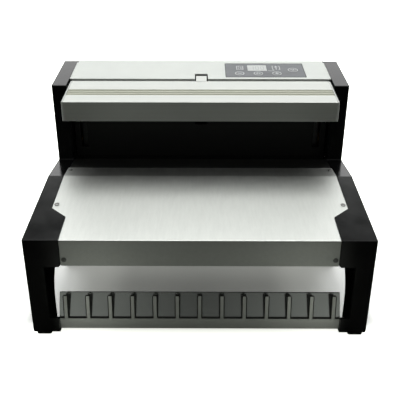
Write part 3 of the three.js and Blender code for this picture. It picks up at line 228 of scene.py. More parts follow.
def evaluated(obj):
    bpy.context.view_layer.update()
    graph = bpy.context.evaluated_depsgraph_get()
    mesh = bpy.data.meshes.new_from_object(obj.evaluated_get(graph), depsgraph=graph)
    bpy.data.objects.remove(obj)
    return mesh


def scratch(mesh):
    obj = bpy.data.objects.new("scratch", mesh)
    bpy.context.scene.collection.objects.link(obj)
    return obj


def combined(base, operation, *tools):
    """The base after a boolean with each tool."""
    obj = scratch(base)
    helpers = [scratch(tool) for tool in tools]
    for helper in helpers:
        step = obj.modifiers.new("step", "BOOLEAN")
        step.operation = operation
        step.solver = "EXACT"
        step.object = helper
    mesh = evaluated(obj)
    for helper in helpers:
        bpy.data.objects.remove(helper)
    return mesh


WELD_DISTANCE = 2e-6
SLIVER_LENGTH = 1e-6
FLAT_ANGLE = math.radians(0.6)


def cleaned(mesh):
    """Welded, with flat areas as single faces."""
    bm = bmesh.new()
    bm.from_mesh(mesh)
    bmesh.ops.remove_doubles(bm, verts=bm.verts, dist=WELD_DISTANCE)
    bmesh.ops.dissolve_degenerate(bm, edges=bm.edges, dist=SLIVER_LENGTH)
    bmesh.ops.dissolve_limit(bm, angle_limit=FLAT_ANGLE, verts=bm.verts, edges=bm.edges)
    bmesh.ops.recalc_face_normals(bm, faces=bm.faces)
    clean = bpy.data.meshes.new("piece")
    bm.to_mesh(clean)
    bm.free()
    return clean


def eased(mesh, width, segments=3, angle=30):
    """Sharp edges rounded by width millimetres, and the rest shaded smooth."""
    obj = scratch(mesh)
    if width:
        step = obj.modifiers.new("edges", "BEVEL")
        step.width = width * MM
        step.segments = segments
        step.limit_method = "ANGLE"
        step.angle_limit = math.radians(angle)
        step.miter_outer = "MITER_ARC"
    mesh = evaluated(obj)
    mesh.polygons.foreach_set("use_smooth", [True] * len(mesh.polygons))
    mesh.set_sharp_from_angle(angle=math.radians(angle))
    return mesh


def mirrored(mesh):
    other = mesh.copy()
    other.transform(Matrix.Scale(-1, 4, (1, 0, 0)))
    other.flip_normals()
    return other


def merged(*meshes):
    """Several meshes as one, side by side."""
    bm = bmesh.new()
    for mesh in meshes:
        bm.from_mesh(mesh)
    whole = bpy.data.meshes.new("piece")
    bm.to_mesh(whole)
    bm.free()
    return whole


def bent(outline, path, thickness):
    """A flat blank in (x, length along the path), bent along a path of (depth, height) and thickened."""
    bm = bmesh.new()
    corners = [bm.verts.new((p.x, p.y, 0)) for p in outline]
    for face in tessellate_polygon([[Vector((p.x, p.y, 0)) for p in outline]]):
        bm.faces.new([corners[i] for i in face])
    lengths = [0]
    for a, b in zip(path, path[1:]):
        lengths.append(lengths[-1] + (b - a).length)
    for length in lengths[1:-1]:
        everything = [*bm.verts, *bm.edges, *bm.faces]
        bmesh.ops.bisect_plane(
            bm, geom=everything, dist=1e-5, plane_co=(0, length, 0), plane_no=(0, 1, 0))
    for vert in bm.verts:
        x, along = vert.co.x, min(max(vert.co.y, 0), lengths[-1])
        k = next(i for i in range(1, len(lengths)) if along <= lengths[i] + 1e-6)
        share = (along - lengths[k - 1]) / (lengths[k] - lengths[k - 1])
        spot = path[k - 1].lerp(path[k], share)
        vert.co = placed(x, spot.x, spot.y)
    bmesh.ops.recalc_face_normals(bm, faces=bm.faces)
    # the path is the sheet's outer side, which faces up and to the front
    if sum(f.normal.z - f.normal.y for f in bm.faces) < 0:
        bmesh.ops.reverse_faces(bm, faces=bm.faces)
    mesh = bpy.data.meshes.new("piece")
    bm.to_mesh(mesh)
    bm.free()
    obj = scratch(mesh)
    step = obj.modifiers.new("sheet", "SOLIDIFY")
    step.thickness = thickness * MM
    step.offset = -1
    step.use_even_offset = True
    return evaluated(obj)


def add(name, mesh, finish, body="root", nodes=()):
    """A finished piece on a body, standing for CAD nodes."""
    mesh.name = name
    obj = bpy.data.objects.new(name, mesh)
    bpy.context.scene.collection.objects.link(obj)
    mesh.materials.clear()
    mesh.materials.append(finishes[finish])
    shading = obj.modifiers.new("shading", "WEIGHTED_NORMAL")
    shading.keep_sharp = True
    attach(obj, body)
    if nodes:
        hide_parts(*nodes)
    return obj


def node_mesh(node):
    source = frame["nodes"][node].data
    mesh = bpy.data.meshes.new("piece")
    mesh.from_pydata([v.co[:] for v in source.vertices], [], [p.vertices[:] for p in source.polygons])
    return cleaned(mesh)


def refine(node, finish, width=0.4, segments=2):
    """A CAD node with its edges eased."""
    mesh = eased(node_mesh(node), width, segments)
    body = frame["nodes"][node]["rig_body"]
    return add(f"{node}_finished", mesh, finish, body, [node])


# Finishes

class Finish:
    """A Principled material with a few helpers for its nodes. Its noise lies in object space."""

    def __init__(self, name, color, roughness, metallic=0.0):
        self.name = name
        self.material = bpy.data.materials.new(f"{name}_finish")
        self.material.use_nodes = True
        self.tree = self.material.node_tree
        self.shader = self.tree.nodes["Principled BSDF"]
        self.shader.inputs["Base Color"].default_value = (*color, 1)
        self.shader.inputs["Roughness"].default_value = roughness
        self.shader.inputs["Metallic"].default_value = metallic
        self.color = color
        self.roughness = roughness
        self.place = self.tree.nodes.new("ShaderNodeTexCoord").outputs["Object"]

    def node(self, kind, **values):
        node = self.tree.nodes.new(kind)
        for key, value in values.items():
            setattr(node, key, value)
        return node

    def noise(self, per_metre, stretch=(1, 1, 1), detail=4, roughness=0.55):
        mapping = self.node("ShaderNodeMapping")
        mapping.inputs["Scale"].default_value = stretch
        self.tree.links.new(self.place, mapping.inputs["Vector"])
        noise = self.node("ShaderNodeTexNoise")
        noise.inputs["Scale"].default_value = per_metre
        noise.inputs["Detail"].default_value = detail
        noise.inputs["Roughness"].default_value = roughness
        self.tree.links.new(mapping.outputs["Vector"], noise.inputs["Vector"])
        return noise.outputs["Fac"]

    def mapped(self, value, low, high):
        """The noise's usual range stretched to low and high."""
        node = self.node("ShaderNodeMapRange")
        for socket, number in (("From Min", 0.3), ("From Max", 0.7), ("To Min", low), ("To Max", high)):
            node.inputs[socket].default_value = number
        self.tree.links.new(value, node.inputs["Value"])
        return node.outputs["Result"]

    def tint(self, value, spread):
        """Base colour varies by a share, from a darker one to a lighter one."""
        mix = self.node("ShaderNodeMix", data_type="RGBA")
        dark = [c * (1 - spread) for c in self.color]
        light = [min(1, c * (1 + spread)) for c in self.color]
        mix.inputs[6].default_value = (*dark, 1)
        mix.inputs[7].default_value = (*light, 1)
        self.tree.links.new(self.mapped(value, 0, 1), mix.inputs[0])
        self.tree.links.new(mix.outputs[2], self.shader.inputs["Base Color"])
        return self

    def gloss(self, value, spread):
        rough = self.mapped(value, self.roughness - spread, self.roughness + spread)
        self.tree.links.new(rough, self.shader.inputs["Roughness"])
        return self

    def bump(self, value, depth_mm):
        node = self.node("ShaderNodeBump")
        node.inputs["Strength"].default_value = 1
        node.inputs["Distance"].default_value = depth_mm * MM
        self.tree.links.new(value, node.inputs["Height"])
        self.tree.links.new(node.outputs["Normal"], self.shader.inputs["Normal"])
        return self


def moulded(name, color, roughness, grain=2200, depth=0.012):
    """Plastic or rubber with a fine grain. The grain is in repeats a metre and the depth in millimetres."""
    finish = Finish(name, color, roughness)
    patches = finish.noise(26, detail=3)
    fine = finish.noise(grain, detail=2)
    return finish.tint(patches, 0.18).gloss(patches, 0.05).bump(fine, depth)


def painted(name, color, roughness, metallic=0.0, grain=1500, depth=0.01):
    """A painted or cast surface."""
    finish = Finish(name, color, roughness, metallic)
    patches = finish.noise(18, detail=3)
    flake = finish.noise(grain, detail=3)
    return finish.tint(patches, 0.03).gloss(patches, 0.04).bump(flake, depth)


def brushed(name, color, roughness, stretch, streaks=1100, depth=0.004, spread=0.08, metallic=1.0):
    """Metal with streaks along the axis that stretch makes long."""
    finish = Finish(name, color, roughness, metallic)
    fine = finish.noise(streaks, stretch, detail=5, roughness=0.65)
    broad = finish.noise(streaks / 5, stretch, detail=4, roughness=0.6)
    return finish.tint(broad, spread).gloss(fine, 0.07).bump(fine, depth)


finishes = {}


def keep(finish):
    finishes[finish.name] = finish.material


ALONG_X = (0.012, 1, 1)
ALONG_Y = (1, 0.012, 1)
ALONG_Z = (1, 1, 0.012)

keep(moulded("black_moulding", (0.004, 0.004, 0.0045), 0.17))
keep(moulded("black_fitting", (0.014, 0.014, 0.014), 0.42))
keep(moulded("rubber", (0.02, 0.02, 0.02), 0.85, 900, 0.05))
keep(moulded("keypad_film", (0.235, 0.243, 0.26), 0.5, 3000, 0.003))
keep(moulded("film_border", (0.12, 0.125, 0.13), 0.5, 3000, 0.003))
keep(moulded("key_plastic", (0.265, 0.27, 0.285), 0.5, 3000, 0.003))
keep(moulded("pale_print", (0.74, 0.75, 0.77), 0.5, 3000, 0.002))
keep(moulded("dark_print", (0.62, 0.64, 0.63), 0.5, 3000, 0.002))
keep(moulded("display_lens", (0.78, 0.8, 0.79), 0.3, 3000, 0.001))
keep(moulded("circuit_board", (0.02, 0.11, 0.05), 0.45, 1200, 0.02))
keep(painted("cover_paint", (0.89, 0.915, 0.88), 0.5, 0.2))
keep(painted("black_sheet", (0.008, 0.008, 0.008), 0.5, 0, 1400, 0.04))
keep(painted("gearbox_casting", (0.4, 0.4, 0.4), 0.5, 0.9, 700, 0.08))
keep(painted("motor_can", (0.06, 0.06, 0.06), 0.4, 0.3))
keep(painted("transformer_core", (0.18, 0.09, 0.04), 0.5, 0.2, 500, 0.1))
keep(brushed("shelf_steel", (0.74, 0.75, 0.725), 0.43, ALONG_Y, depth=0.002, spread=0.03))
keep(brushed("head_aluminium", (0.68, 0.695, 0.665), 0.4, ALONG_X, depth=0.002, spread=0.03))
keep(brushed("inlay_strip", (0.56, 0.565, 0.47), 0.5, ALONG_X, depth=0.002, spread=0.04, metallic=0.3))
keep(painted("end_cap", (0.72, 0.735, 0.71), 0.4, 0.2))
keep(brushed("rack_paint", (0.78, 0.79, 0.76), 0.4, ALONG_X, depth=0.001, spread=0.02, metallic=0.9))
# rack_shade is the colour of the painted shade behind the rack's lip and fingers
keep(moulded("rack_shade", (0.022, 0.024, 0.02), 0.55))
keep(brushed("rack_plate", (0.8, 0.81, 0.79), 0.13, ALONG_X, depth=0.0005, spread=0.02, metallic=0.85))
keep(brushed("jaw_steel", (0.16, 0.16, 0.155), 0.36, ALONG_X))
keep(brushed("frame_steel", (0.45, 0.46, 0.46), 0.42, ALONG_X, 500, 0.006))
keep(brushed("dark_frame", (0.05, 0.05, 0.05), 0.45, ALONG_X, 500, 0.006))
keep(brushed("ground_steel", (0.15, 0.15, 0.15), 0.35, ALONG_Z, 1500, 0.002))
keep(brushed("gear_steel", (0.13, 0.13, 0.13), 0.32, ALONG_X, 900))
keep(brushed("screw_steel", (0.3, 0.3, 0.29), 0.35, (1, 1, 1), 1600, 0.01))
keep(brushed("bearing_bronze", (0.4, 0.25, 0.09), 0.35, (1, 1, 1), 900, 0.01))


# Side panels

BLOCK_BOTTOM = 110.5
FOOT_BLOCK_INNER = 189.2


def side_panel():
    rear_top = top_at(MACHINE_DEPTH)
    outline = filleted([
        (0, UNDERSIDE, 3), (LEG_DEPTH, UNDERSIDE, 3), (LEG_DEPTH, ARCH_TOP, ARCH_RADIUS),
        (ARCH_REAR, ARCH_TOP, ARCH_RADIUS), (ARCH_REAR, UNDERSIDE, 3),
        (MACHINE_DEPTH, UNDERSIDE, 3), (MACHINE_DEPTH, rear_top, 4),
        (HORN_FRONT, top_at(HORN_FRONT) + 1.2, 2), (HORN_FRONT, PLATEAU_HEIGHT, 0.8),
        (PLATEAU_DEPTH, PLATEAU_HEIGHT, 3), (1.2, SHELF_FRONT_HEIGHT + 1.6, 0.5),
    ], 16)
    # the corner block beside the lip and the foot block stand on the shell's inner side. Both end in the
    # wall, and the shapes that cut them reach past the outline.
    in_wall, past_wall = PANEL_INNER + 3, PANEL_INNER + 9
    ahead, behind, above = -5, MACHINE_DEPTH + 10, MACHINE_HEIGHT + 17.5
    plan = filleted([
        (BLOCK_INNER, -9), (in_wall, -9), (in_wall, BLOCK_TAIL + 1.7), (BLOCK_INNER, BLOCK_DEPTH, 2.5),
    ])
    face = filleted([
        (BLOCK_INNER, BLOCK_BOTTOM + 2.5), (BLOCK_INNER + 2.5, BLOCK_BOTTOM), (in_wall, BLOCK_BOTTOM),
        (in_wall, above), (BLOCK_INNER, above),
    ])
    block = combined(
        prism(outline, BLOCK_INNER - 9, past_wall), "INTERSECT",
        prism(plan, ahead, behind, along_z), prism(face, -9, 80, along_y))
    gusset = filleted([(-3, 0), (31.7, 0), (31.7, UNDERSIDE), (3.7, 32, 1), (-3, 32)])
    gusset_face = filleted([
        (FOOT_BLOCK_INNER, 0), (past_wall, 0), (past_wall, 32), (FOOT_BLOCK_INNER, 32, 3)])
    foot_block = combined(
        prism(outline, FOOT_BLOCK_INNER, past_wall), "INTERSECT",
        prism(gusset, FOOT_BLOCK_INNER - 9, past_wall + 5), prism(gusset_face, ahead, 40, along_y))
    horn_relief = prism(rectangle(140, 320, PLATEAU_HEIGHT + 3, above), PANEL_INNER - 2, HORN_INNER)
    recess_start, recess_end, recess_sink = BLOCK_TAIL - 1, SHELF_REAR + 1, 2
    shelf_recess = prism(filleted([
        (recess_start, shelf_at(BLOCK_TAIL) - recess_sink), (PLATEAU_DEPTH, PLATEAU_HEIGHT - recess_sink),
        (recess_end, PLATEAU_HEIGHT - recess_sink), (recess_end, 200), (recess_start, 200),
    ]), PANEL_INNER - 2, SHELF_HALF + FIT)
    shell = combined(prism(outline, PANEL_INNER, HALF_WIDTH), "DIFFERENCE", horn_relief, shelf_recess)
    # the bottom edge is bevelled outside
    toe_inner, toe_outer, toe_top = HALF_WIDTH - 1.4, HALF_WIDTH + 3, UNDERSIDE + 4
    toe = filleted([
        (toe_inner, UNDERSIDE), (HALF_WIDTH, toe_top), (toe_outer, toe_top), (toe_outer, 5), (toe_inner, 5)])
    whole = combined(shell, "UNION", block, foot_block)
    whole = combined(whole, "DIFFERENCE", prism(toe, ahead, behind, along_y))
    return eased(cleaned(whole), 1.1, 4, 24)


def lip_tongue():
    """Behind the lip, where its screw holds."""
    return eased(prism(rectangle(4.3, 13.3, 114, 132), 164, BLOCK_INNER + 2), 0.5)


FOOT_DEPTHS = {"front": 17.5, "rear": 300}
FOOT_INNER, FOOT_OUTER = 203.7, 223.7
FOOT_HALF = 9.3


def rubber_foot(depth):
    outline = rectangle(FOOT_INNER, FOOT_OUTER, depth - FOOT_HALF, depth + FOOT_HALF, 3)
    return eased(prism(outline, 0, UNDERSIDE - FIT, along_z), 0.5)


panel = side_panel()
tongue = lip_tongue()
for side, shift in (("right", lambda m: m.copy()), ("left", mirrored)):
    add(f"side_panel_moulding_{side}", shift(panel), "black_moulding",
        nodes=[f"side_panel_{side}"])
    add(f"lip_tongue_{side}", shift(tongue), "black_moulding")
    for end, depth in FOOT_DEPTHS.items():
        add(f"{end}_foot_rubber_{side}", shift(rubber_foot(depth)), "rubber",
            nodes=[f"{end}_foot_{side}"])


# Shelf plate, its screws and rails

def shelf_plate():
    bend = shelf_at(LIP_FACE)
    path = filleted([(LIP_FACE, LIP_BOTTOM), (LIP_FACE, bend, 1.9), (PLATEAU_DEPTH, PLATEAU_HEIGHT, 2),
                     (SHELF_REAR, PLATEAU_HEIGHT)], 6)
    slope_start = bend - LIP_BOTTOM

    def along(depth):
        """Length along the path at a depth."""
        if depth <= PLATEAU_DEPTH:
            return slope_start + (depth - LIP_FACE) / math.cos(SHELF_SLOPE)
        return along(PLATEAU_DEPTH) + depth - PLATEAU_DEPTH

    narrow = BLOCK_INNER - FIT
    half = [(narrow, 0), (narrow, along(BLOCK_DEPTH), 2.5), (SHELF_HALF, along(BLOCK_TAIL)),
            (SHELF_HALF, along(SHELF_REAR) - 0.2)]
    blank = filleted(half + [(-c[0], *c[1:]) for c in reversed(half)], 6)
    return eased(bent(blank, path, SHEET), 0.25, 2)


add("shelf_sheet", shelf_plate(), "shelf_steel", nodes=["shelf_plate"])
for side in ("right", "left"):
    refine(f"shelf_rail_{side}", "frame_steel")


def screw():
    """A pan head with a cross recess, on Z."""
    head = lathe([
        (0, -4), (1.5, -4), (1.5, FIT), (3.3, FIT), (3.4, 0.55), (3.3, 0.85), (2.7, 1.2), (1.5, 1.38),
        (0, 1.4),
    ], 32)
    cross_turn, half_length, half_width = 0.5, 1.75, 0.32
    slot = rectangle(-half_length, half_length, -half_width, half_width)
    bars = [
        prism(slot, 0.5, 3, lambda u, v, w, t=turn: Vector((
            u * math.cos(t) - v * math.sin(t), u * math.sin(t) + v * math.cos(t), w)) * MM)
        for turn in (cross_turn, cross_turn + math.pi / 2)
    ]
    return eased(combined(head, "DIFFERENCE", *bars), 0.06, 1, 32)


screw_head = screw()
# name, distance from the middle, depth, height and lean
screw_places = [
    ("shelf_screw_front", 196.9, 80.98, shelf_at(80.98), SHELF_SLOPE),
    ("shelf_screw_rear", 196.9, 176.5, PLATEAU_HEIGHT, 0),
    ("lip_screw", 174.4, LIP_FACE, 120.8, math.pi / 2),
]
for name, x, depth, height, lean in screw_places:
    for side, sign in (("right", 1), ("left", -1)):
        mesh = screw_head.copy()
        spot = placed(sign * x, depth, height)
        mesh.transform(Matrix.Translation(spot) @ Matrix.Rotation(lean, 4, "X"))
        add(f"{name}_head_{side}", mesh, "screw_steel", nodes=[f"{name}_{side}"])


# Jaws, throat and frame

refine("anvil_bar", "jaw_steel", 0.5)
refine("anvil_beam", "frame_steel")
refine("throat_liner", "black_sheet", 0.4)
refine("cross_frame", "dark_frame", 0.4)
refine("base_tray", "black_sheet", 0.4)
refine("press_beam", "jaw_steel", 0.5)
for side in ("right", "left"):
    refine(f"chassis_plate_{side}", "frame_steel", 0.3)
    refine(f"carriage_arm_{side}", "dark_frame", 0.4)


GUIDE_ROD_X, GUIDE_ROD_DEPTH, GUIDE_ROD_BOTTOM = 168, 266, 146
SHAFT_HALF, SHAFT_DEPTH, SHAFT_HEIGHT = 200.4, 288, 190


def rod(radius, bottom, top):
    chamfer = 0.8
    return [(0, bottom), (radius - chamfer, bottom), (radius, bottom + chamfer), (radius, top - chamfer),
            (radius - chamfer, top), (0, top)]


for side, sign in (("right", 1), ("left", -1)):
    rod_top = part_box(f"guide_rod_{side}")[1].z / MM
    mesh = lathe(rod(5, GUIDE_ROD_BOTTOM, rod_top), 40,
                 Matrix.Translation(placed(sign * GUIDE_ROD_X, GUIDE_ROD_DEPTH, 0)))
    add(f"guide_rod_ground_{side}", eased(mesh, 0), "ground_steel",
        nodes=[f"guide_rod_{side}"])

shaft_place = Matrix.Translation(placed(0, SHAFT_DEPTH, SHAFT_HEIGHT)) @ Matrix.Rotation(math.pi / 2, 4, "Y")
shaft = lathe(rod(6, -SHAFT_HALF, SHAFT_HALF), 40, shaft_place)
add("cross_shaft_ground", eased(shaft, 0), "ground_steel", "lift_shaft", ["cross_shaft"])


# Head: an extrusion with three grooves, and a cap on each end

def on_head(u, v, w):
    """A place on the head's slope: u back from its front edge, v out of its top."""
    cos, sin = math.cos(TOP_SLOPE), math.sin(TOP_SLOPE)
    return placed(w, HEAD_FRONT + u * cos - v * sin, top_at(HEAD_FRONT) + u * sin + v * cos)


HEAD_LENGTH = (HEAD_REAR - HEAD_FRONT) / math.cos(TOP_SLOPE)
HEAD_DROP = 30.6
HEAD_REAR_DROP = 9
HEAD_WALL = 3
CAP_THICKNESS = 2
EXTRUSION_HALF = HEAD_HALF - CAP_THICKNESS - FIT
# the sunk band that runs along the top, with three grooves in it
BAND = (24.2, 44.8)
BAND_SINK = 1.2
GROOVE_SINK = 2


def band_middles():
    """The middles of the band's grooves, from the rear."""
    step = (BAND[1] - BAND[0]) / 3
    return [BAND[0] + (i + 0.5) * step for i in (2, 1, 0)]


def head_outline():
    half = 0.9
    grooves = []
    for middle in band_middles():
        grooves += [(middle + half, -BAND_SINK), (middle + half, -GROOVE_SINK),
                    (middle - half, -GROOVE_SINK), (middle - half, -BAND_SINK)]
    inner_rear = HEAD_LENGTH - HEAD_WALL
    return filleted([
        (0, -HEAD_DROP, 0.8), (10, -HEAD_DROP), (10, -27), (HEAD_WALL, -27, 0.6),
        (HEAD_WALL, -HEAD_WALL, 0.6), (inner_rear, -HEAD_WALL), (inner_rear, -HEAD_REAR_DROP),
        (HEAD_LENGTH, -HEAD_REAR_DROP), (HEAD_LENGTH, 0, 0.5), (BAND[1], 0), (BAND[1], -BAND_SINK),
        *grooves, (BAND[0], -BAND_SINK), (BAND[0], 0), (0, 0, 1.5),
    ], 6)


extrusion = prism(head_outline(), -EXTRUSION_HALF, EXTRUSION_HALF, on_head)
add("head_extrusion", eased(extrusion, 0.18, 2), "head_aluminium", "head", ["head_shell"])


def inlay():
    """The strip that lies in the band, with a line cut over each groove."""
    top, bottom, cut, half = -0.25, 0.02 - BAND_SINK, -1, 0.75
    front, rear = BAND[0] + 0.15, BAND[1] - 0.15
    outline = [(front, bottom), (rear, bottom), (rear, top)]
    for middle in band_middles():
        outline += [(middle + half, top), (middle + half, cut), (middle - half, cut), (middle - half, top)]
    outline.append((front, top))
    reach = EXTRUSION_HALF - 0.2
    return eased(prism(filleted(outline), -reach, reach, on_head), 0.1, 1)


add("head_inlay", inlay(), "inlay_strip", "head")
TAB_MIDDLE, TAB_HALF, TAB_THICKNESS = 1.5, 8.25, 3.5
tab_root, tab_end = HEAD_LENGTH - HEAD_WALL, HEAD_LENGTH + 20.84
tab = filleted([(tab_root, -TAB_THICKNESS), (tab_end, -TAB_THICKNESS, 0.6), (tab_end, 0, 0.6), (tab_root, 0)])
add("pointer_tab", eased(prism(tab, TAB_MIDDLE - TAB_HALF, TAB_MIDDLE + TAB_HALF, on_head), 0.35, 2),
    "head_aluminium", "head")

CAP_DRAFT = 1.4
cap_outline = filleted([
    (0, -HEAD_DROP, 1), (10, -HEAD_DROP), (HEAD_LENGTH, -HEAD_REAR_DROP), (HEAD_LENGTH, 0, 0.8), (0, 0, 1.5)])


def drafted(u, v, w):
    """On the head's slope, with the cap's outer face further out towards the bottom."""
    return on_head(u, v, w - CAP_DRAFT * v / HEAD_DROP if w > HEAD_HALF - 1 else w)


cap = eased(prism(cap_outline, HEAD_HALF - CAP_THICKNESS, HEAD_HALF, drafted), 0.9, 4)
for side, shift in (("right", lambda m: m.copy()), ("left", mirrored)):
    add(f"head_end_cap_{side}", shift(cap), "end_cap", "head", [f"head_cap_{side}"])


# Top cover, keypad, display and keys, on the cover's slope

cover_edge = placed(0, COVER_FRONT, top_at(COVER_FRONT))
COVER_PLACE = Matrix.Translation(cover_edge) @ Matrix.Rotation(TOP_SLOPE, 4, "X")


def on_cover(u, v, w):
    """A place on the cover: u across, v up the slope from its front edge, w out of it."""
    return COVER_PLACE @ (Vector((u, v, w)) * MM)


# the cover's sides meet the horns, whose inner faces lie further out than the solids'
COVER_SIDE = 195
cover = node_mesh("top_cover")
for vert in cover.vertices:
    if abs(vert.co.x) > COVER_SIDE * MM:
        vert.co.x += math.copysign(HORN_INNER - PANEL_INNER, vert.co.x) * MM
add("top_cover_sheet", eased(cover, 0.35, 3), "cover_paint", nodes=["top_cover"])

# left, right, front and rear edges
OVERLAY = (39.4, 166.2, 6.3, 64.5)
WINDOW = (75.9, 106.4, 33.4, 56.7)
FILM_DEPTH = 0.9
KEY_GAP = 0.12
# name, place across and up the slope, radius
KEYS = [
    ("minus", 62.2, 22, 7.5),
    ("open", 91.6, 22, 7.5),
    ("plus", 121, 22, 7.5),
    ("close", 148, 36.4, 8.2),
]
holes = [circle(x, y, radius + KEY_GAP) for _, x, y, radius in KEYS]
holes.append(rectangle(WINDOW[0] - FIT, WINDOW[1] + FIT, WINDOW[2] - FIT, WINDOW[3] + FIT, 1))
film = prism(rectangle(*OVERLAY, 1.5), -FILM_DEPTH, 0, on_cover, holes)
add("keypad_film", eased(film, 0.12, 2), "keypad_film", nodes=["keypad_overlay"])
lens = prism(rectangle(*WINDOW, 0.8), -FILM_DEPTH, 0, on_cover)
add("display_lens", eased(lens, 0.15, 2), "display_lens", nodes=["display_window"])


def key_cap(x, y, radius):
    """A low domed cap on a flange and a stem."""
    profile = [
        (0, -7.3), (2, -7.3), (2, -3.3), (radius + 1.4, -3.3), (radius + 1.4, -2.3), (radius, -2.3),
        (radius, 0.0), (radius - 0.15, 0.15), (radius - 0.5, 0.24), (radius * 0.6, 0.36), (0, 0.42),
    ]
    return eased(lathe(profile, 64, Matrix.Translation(Vector((x, y, 0)) * MM)), 0, angle=28)


PRINT_HEIGHT = 0.06


def bar(left, right, front, rear, low=0.0, high=PRINT_HEIGHT):
    return prism(rectangle(left, right, front, rear), low, high, on_cover)


def ring(x, y, outer, inner, low, high):
    return prism(circle(x, y, outer), low, high, on_cover, [circle(x, y, inner)])


def chevron(x, y, reach, way, low, high):
    """An arrow head that points along x by its way."""
    stroke = 0.9
    tip = x + way * reach
    points = [
        Vector((tip, y)), Vector((x, y + reach)), Vector((x - way * stroke, y + reach)),
        Vector((tip - way * stroke * 1.4, y)), Vector((x - way * stroke, y - reach)), Vector((x, y - reach)),
    ]
    return prism(points, low, high, on_cover)


def key_symbol(name, x, y):
    low, high = 0.2, 0.5
    wide = bar(x - 3.2, x + 3.2, y - 1, y + 1, low, high)
    if name == "minus":
        return wide
    if name == "plus":
        return combined(wide, "UNION", bar(x - 1, x + 1, y - 3.6, y + 3.6, low, high))
    way = 1 if name == "open" else -1
    reach = 1.8
    marks = [bar(x + s * 1.2 - 0.5, x + s * 1.2 + 0.5, y - 3.6, y + 3.6, low, high) for s in (1, -1)]
    start = 2.6 if way == 1 else 4.2
    arrows = [chevron(x + s * start, y, reach, s * way, low, high) for s in (1, -1)]
    return merged(*marks, *arrows)


for name, x, y, radius in KEYS:
    cap_mesh = key_cap(x, y, radius)
    cap_mesh.transform(COVER_PLACE)
    body = f"{name}_button"
    add(f"key_cap_{name}", cap_mesh, "key_plastic", body, [f"key_{name}"])
    printed_ring = ring(x, y, radius - 0.1, radius - 1.4, 0.05, 0.32)
    add(f"key_ring_{name}", printed_ring, "pale_print", body)
    add(f"key_symbol_{name}", key_symbol(name, x, y), "pale_print", body)


def inset(edges, left, right, front, rear, radius):
    """A rounded rectangle inside another's edges."""
    return rectangle(edges[0] + left, edges[1] - right, edges[2] + front, edges[3] - rear, radius)


# a darker border round the film, wider at its front, and signs beside the display: a sheet with holes, and an
# arrow between brackets
BORDER_FRONT, BORDER_SIDE = 2.6, 1.3
border = prism(
    inset(OVERLAY, 0.2, 0.2, 0.2, 0.2, 1.3), 0, 0.04, on_cover,
    [inset(OVERLAY, BORDER_SIDE, BORDER_SIDE, BORDER_FRONT, BORDER_SIDE, 1)])
add("keypad_border", border, "film_border")


def hollow(left, right, front, rear, stroke):
    inner = rectangle(left + stroke, right - stroke, front + stroke, rear - stroke)
    return prism(rectangle(left, right, front, rear), 0, PRINT_HEIGHT, on_cover, [inner])


punched = [bar(60.6, 61.8, 40.2 + 2.6 * i, 41.8 + 2.6 * i) for i in range(5)]
lines = [bar(63.4, 66.6, 41 + 3.4 * i, 42.6 + 3.4 * i) for i in range(3)]
add("page_sign", merged(hollow(57.8, 69, 37.6, 53.4, 1.2), *punched, *lines), "pale_print")
arrow_head = [Vector((121.9, 54.5)), Vector((118.9, 48)), Vector((124.9, 48))]
signs = [bar(121.2, 122.6, 38.5, 52), prism(arrow_head, 0, 0.08, on_cover)]
for x, way in ((116.2, 1), (127.6, -1)):
    signs.append(bar(x - 0.6, x + 0.6, 38, 53.5))
    for front in (38, 52.3):
        signs.append(bar(*sorted((x + way * 0.6, x + way * 2.2)), front, front + 1.2))
add("bracket_sign", merged(*signs), "pale_print")
sweep = [(108.4, 35.2), (110.5, 32.6), (113.5, 32), (116.5, 33), (118.6, 35.4)]
curve = [Vector(p) for p in sweep] + [Vector((x, v + 1.5)) for x, v in reversed(sweep)]
add("sign_underline", prism(curve, 0, PRINT_HEIGHT, on_cover), "pale_print")

SEGMENTS = {"0": "abcdef", "1": "bc"}
DIGIT_LEFTS = (80.4, 88.6, 96.8)
DIGIT_FRONT = 38


def digit(text, left):
    """The bars of a seven-segment digit."""
    width, length, stroke = 5.4, 14, 1.1
    front = DIGIT_FRONT
    middle = front + length / 2
    places = {
        "a": (left + stroke, left + width - stroke, front + length - stroke, front + length),
        "d": (left + stroke, left + width - stroke, front, front + stroke),
        "f": (left, left + stroke, middle + 0.4, front + length - 0.4),
        "b": (left + width - stroke, left + width, middle + 0.4, front + length - 0.4),
        "e": (left, left + stroke, front + 0.4, middle - 0.4),
        "c": (left + width - stroke, left + width, front + 0.4, middle - 0.4),
    }
    return [bar(*places[s], 0, 0.05) for s in SEGMENTS[text]]


digits = [segment for text, left in zip("100", DIGIT_LEFTS) for segment in digit(text, left)]
add("display_digits", merged(*digits), "dark_print")


# Wire rack

FINGER_PLACES = [30 * i for i in range(-6, 7)]
RACK_HALF = 188.9
RACK_LIP_TOP = 28.6
RACK_BOTTOM = 12.9
RACK_FACE = 4
RACK_BACK = RACK_FACE + SHEET
FINGER_TOP = 61.3
FINGER_HALF = 2.2
FINGER_LEAN = 0.15


def leant(mesh):
    """What stands above the rack's lip leans back, as the fingers do."""
    for vert in mesh.vertices:
        vert.co.y += max(0, vert.co.z - RACK_LIP_TOP * MM) * FINGER_LEAN
    return mesh


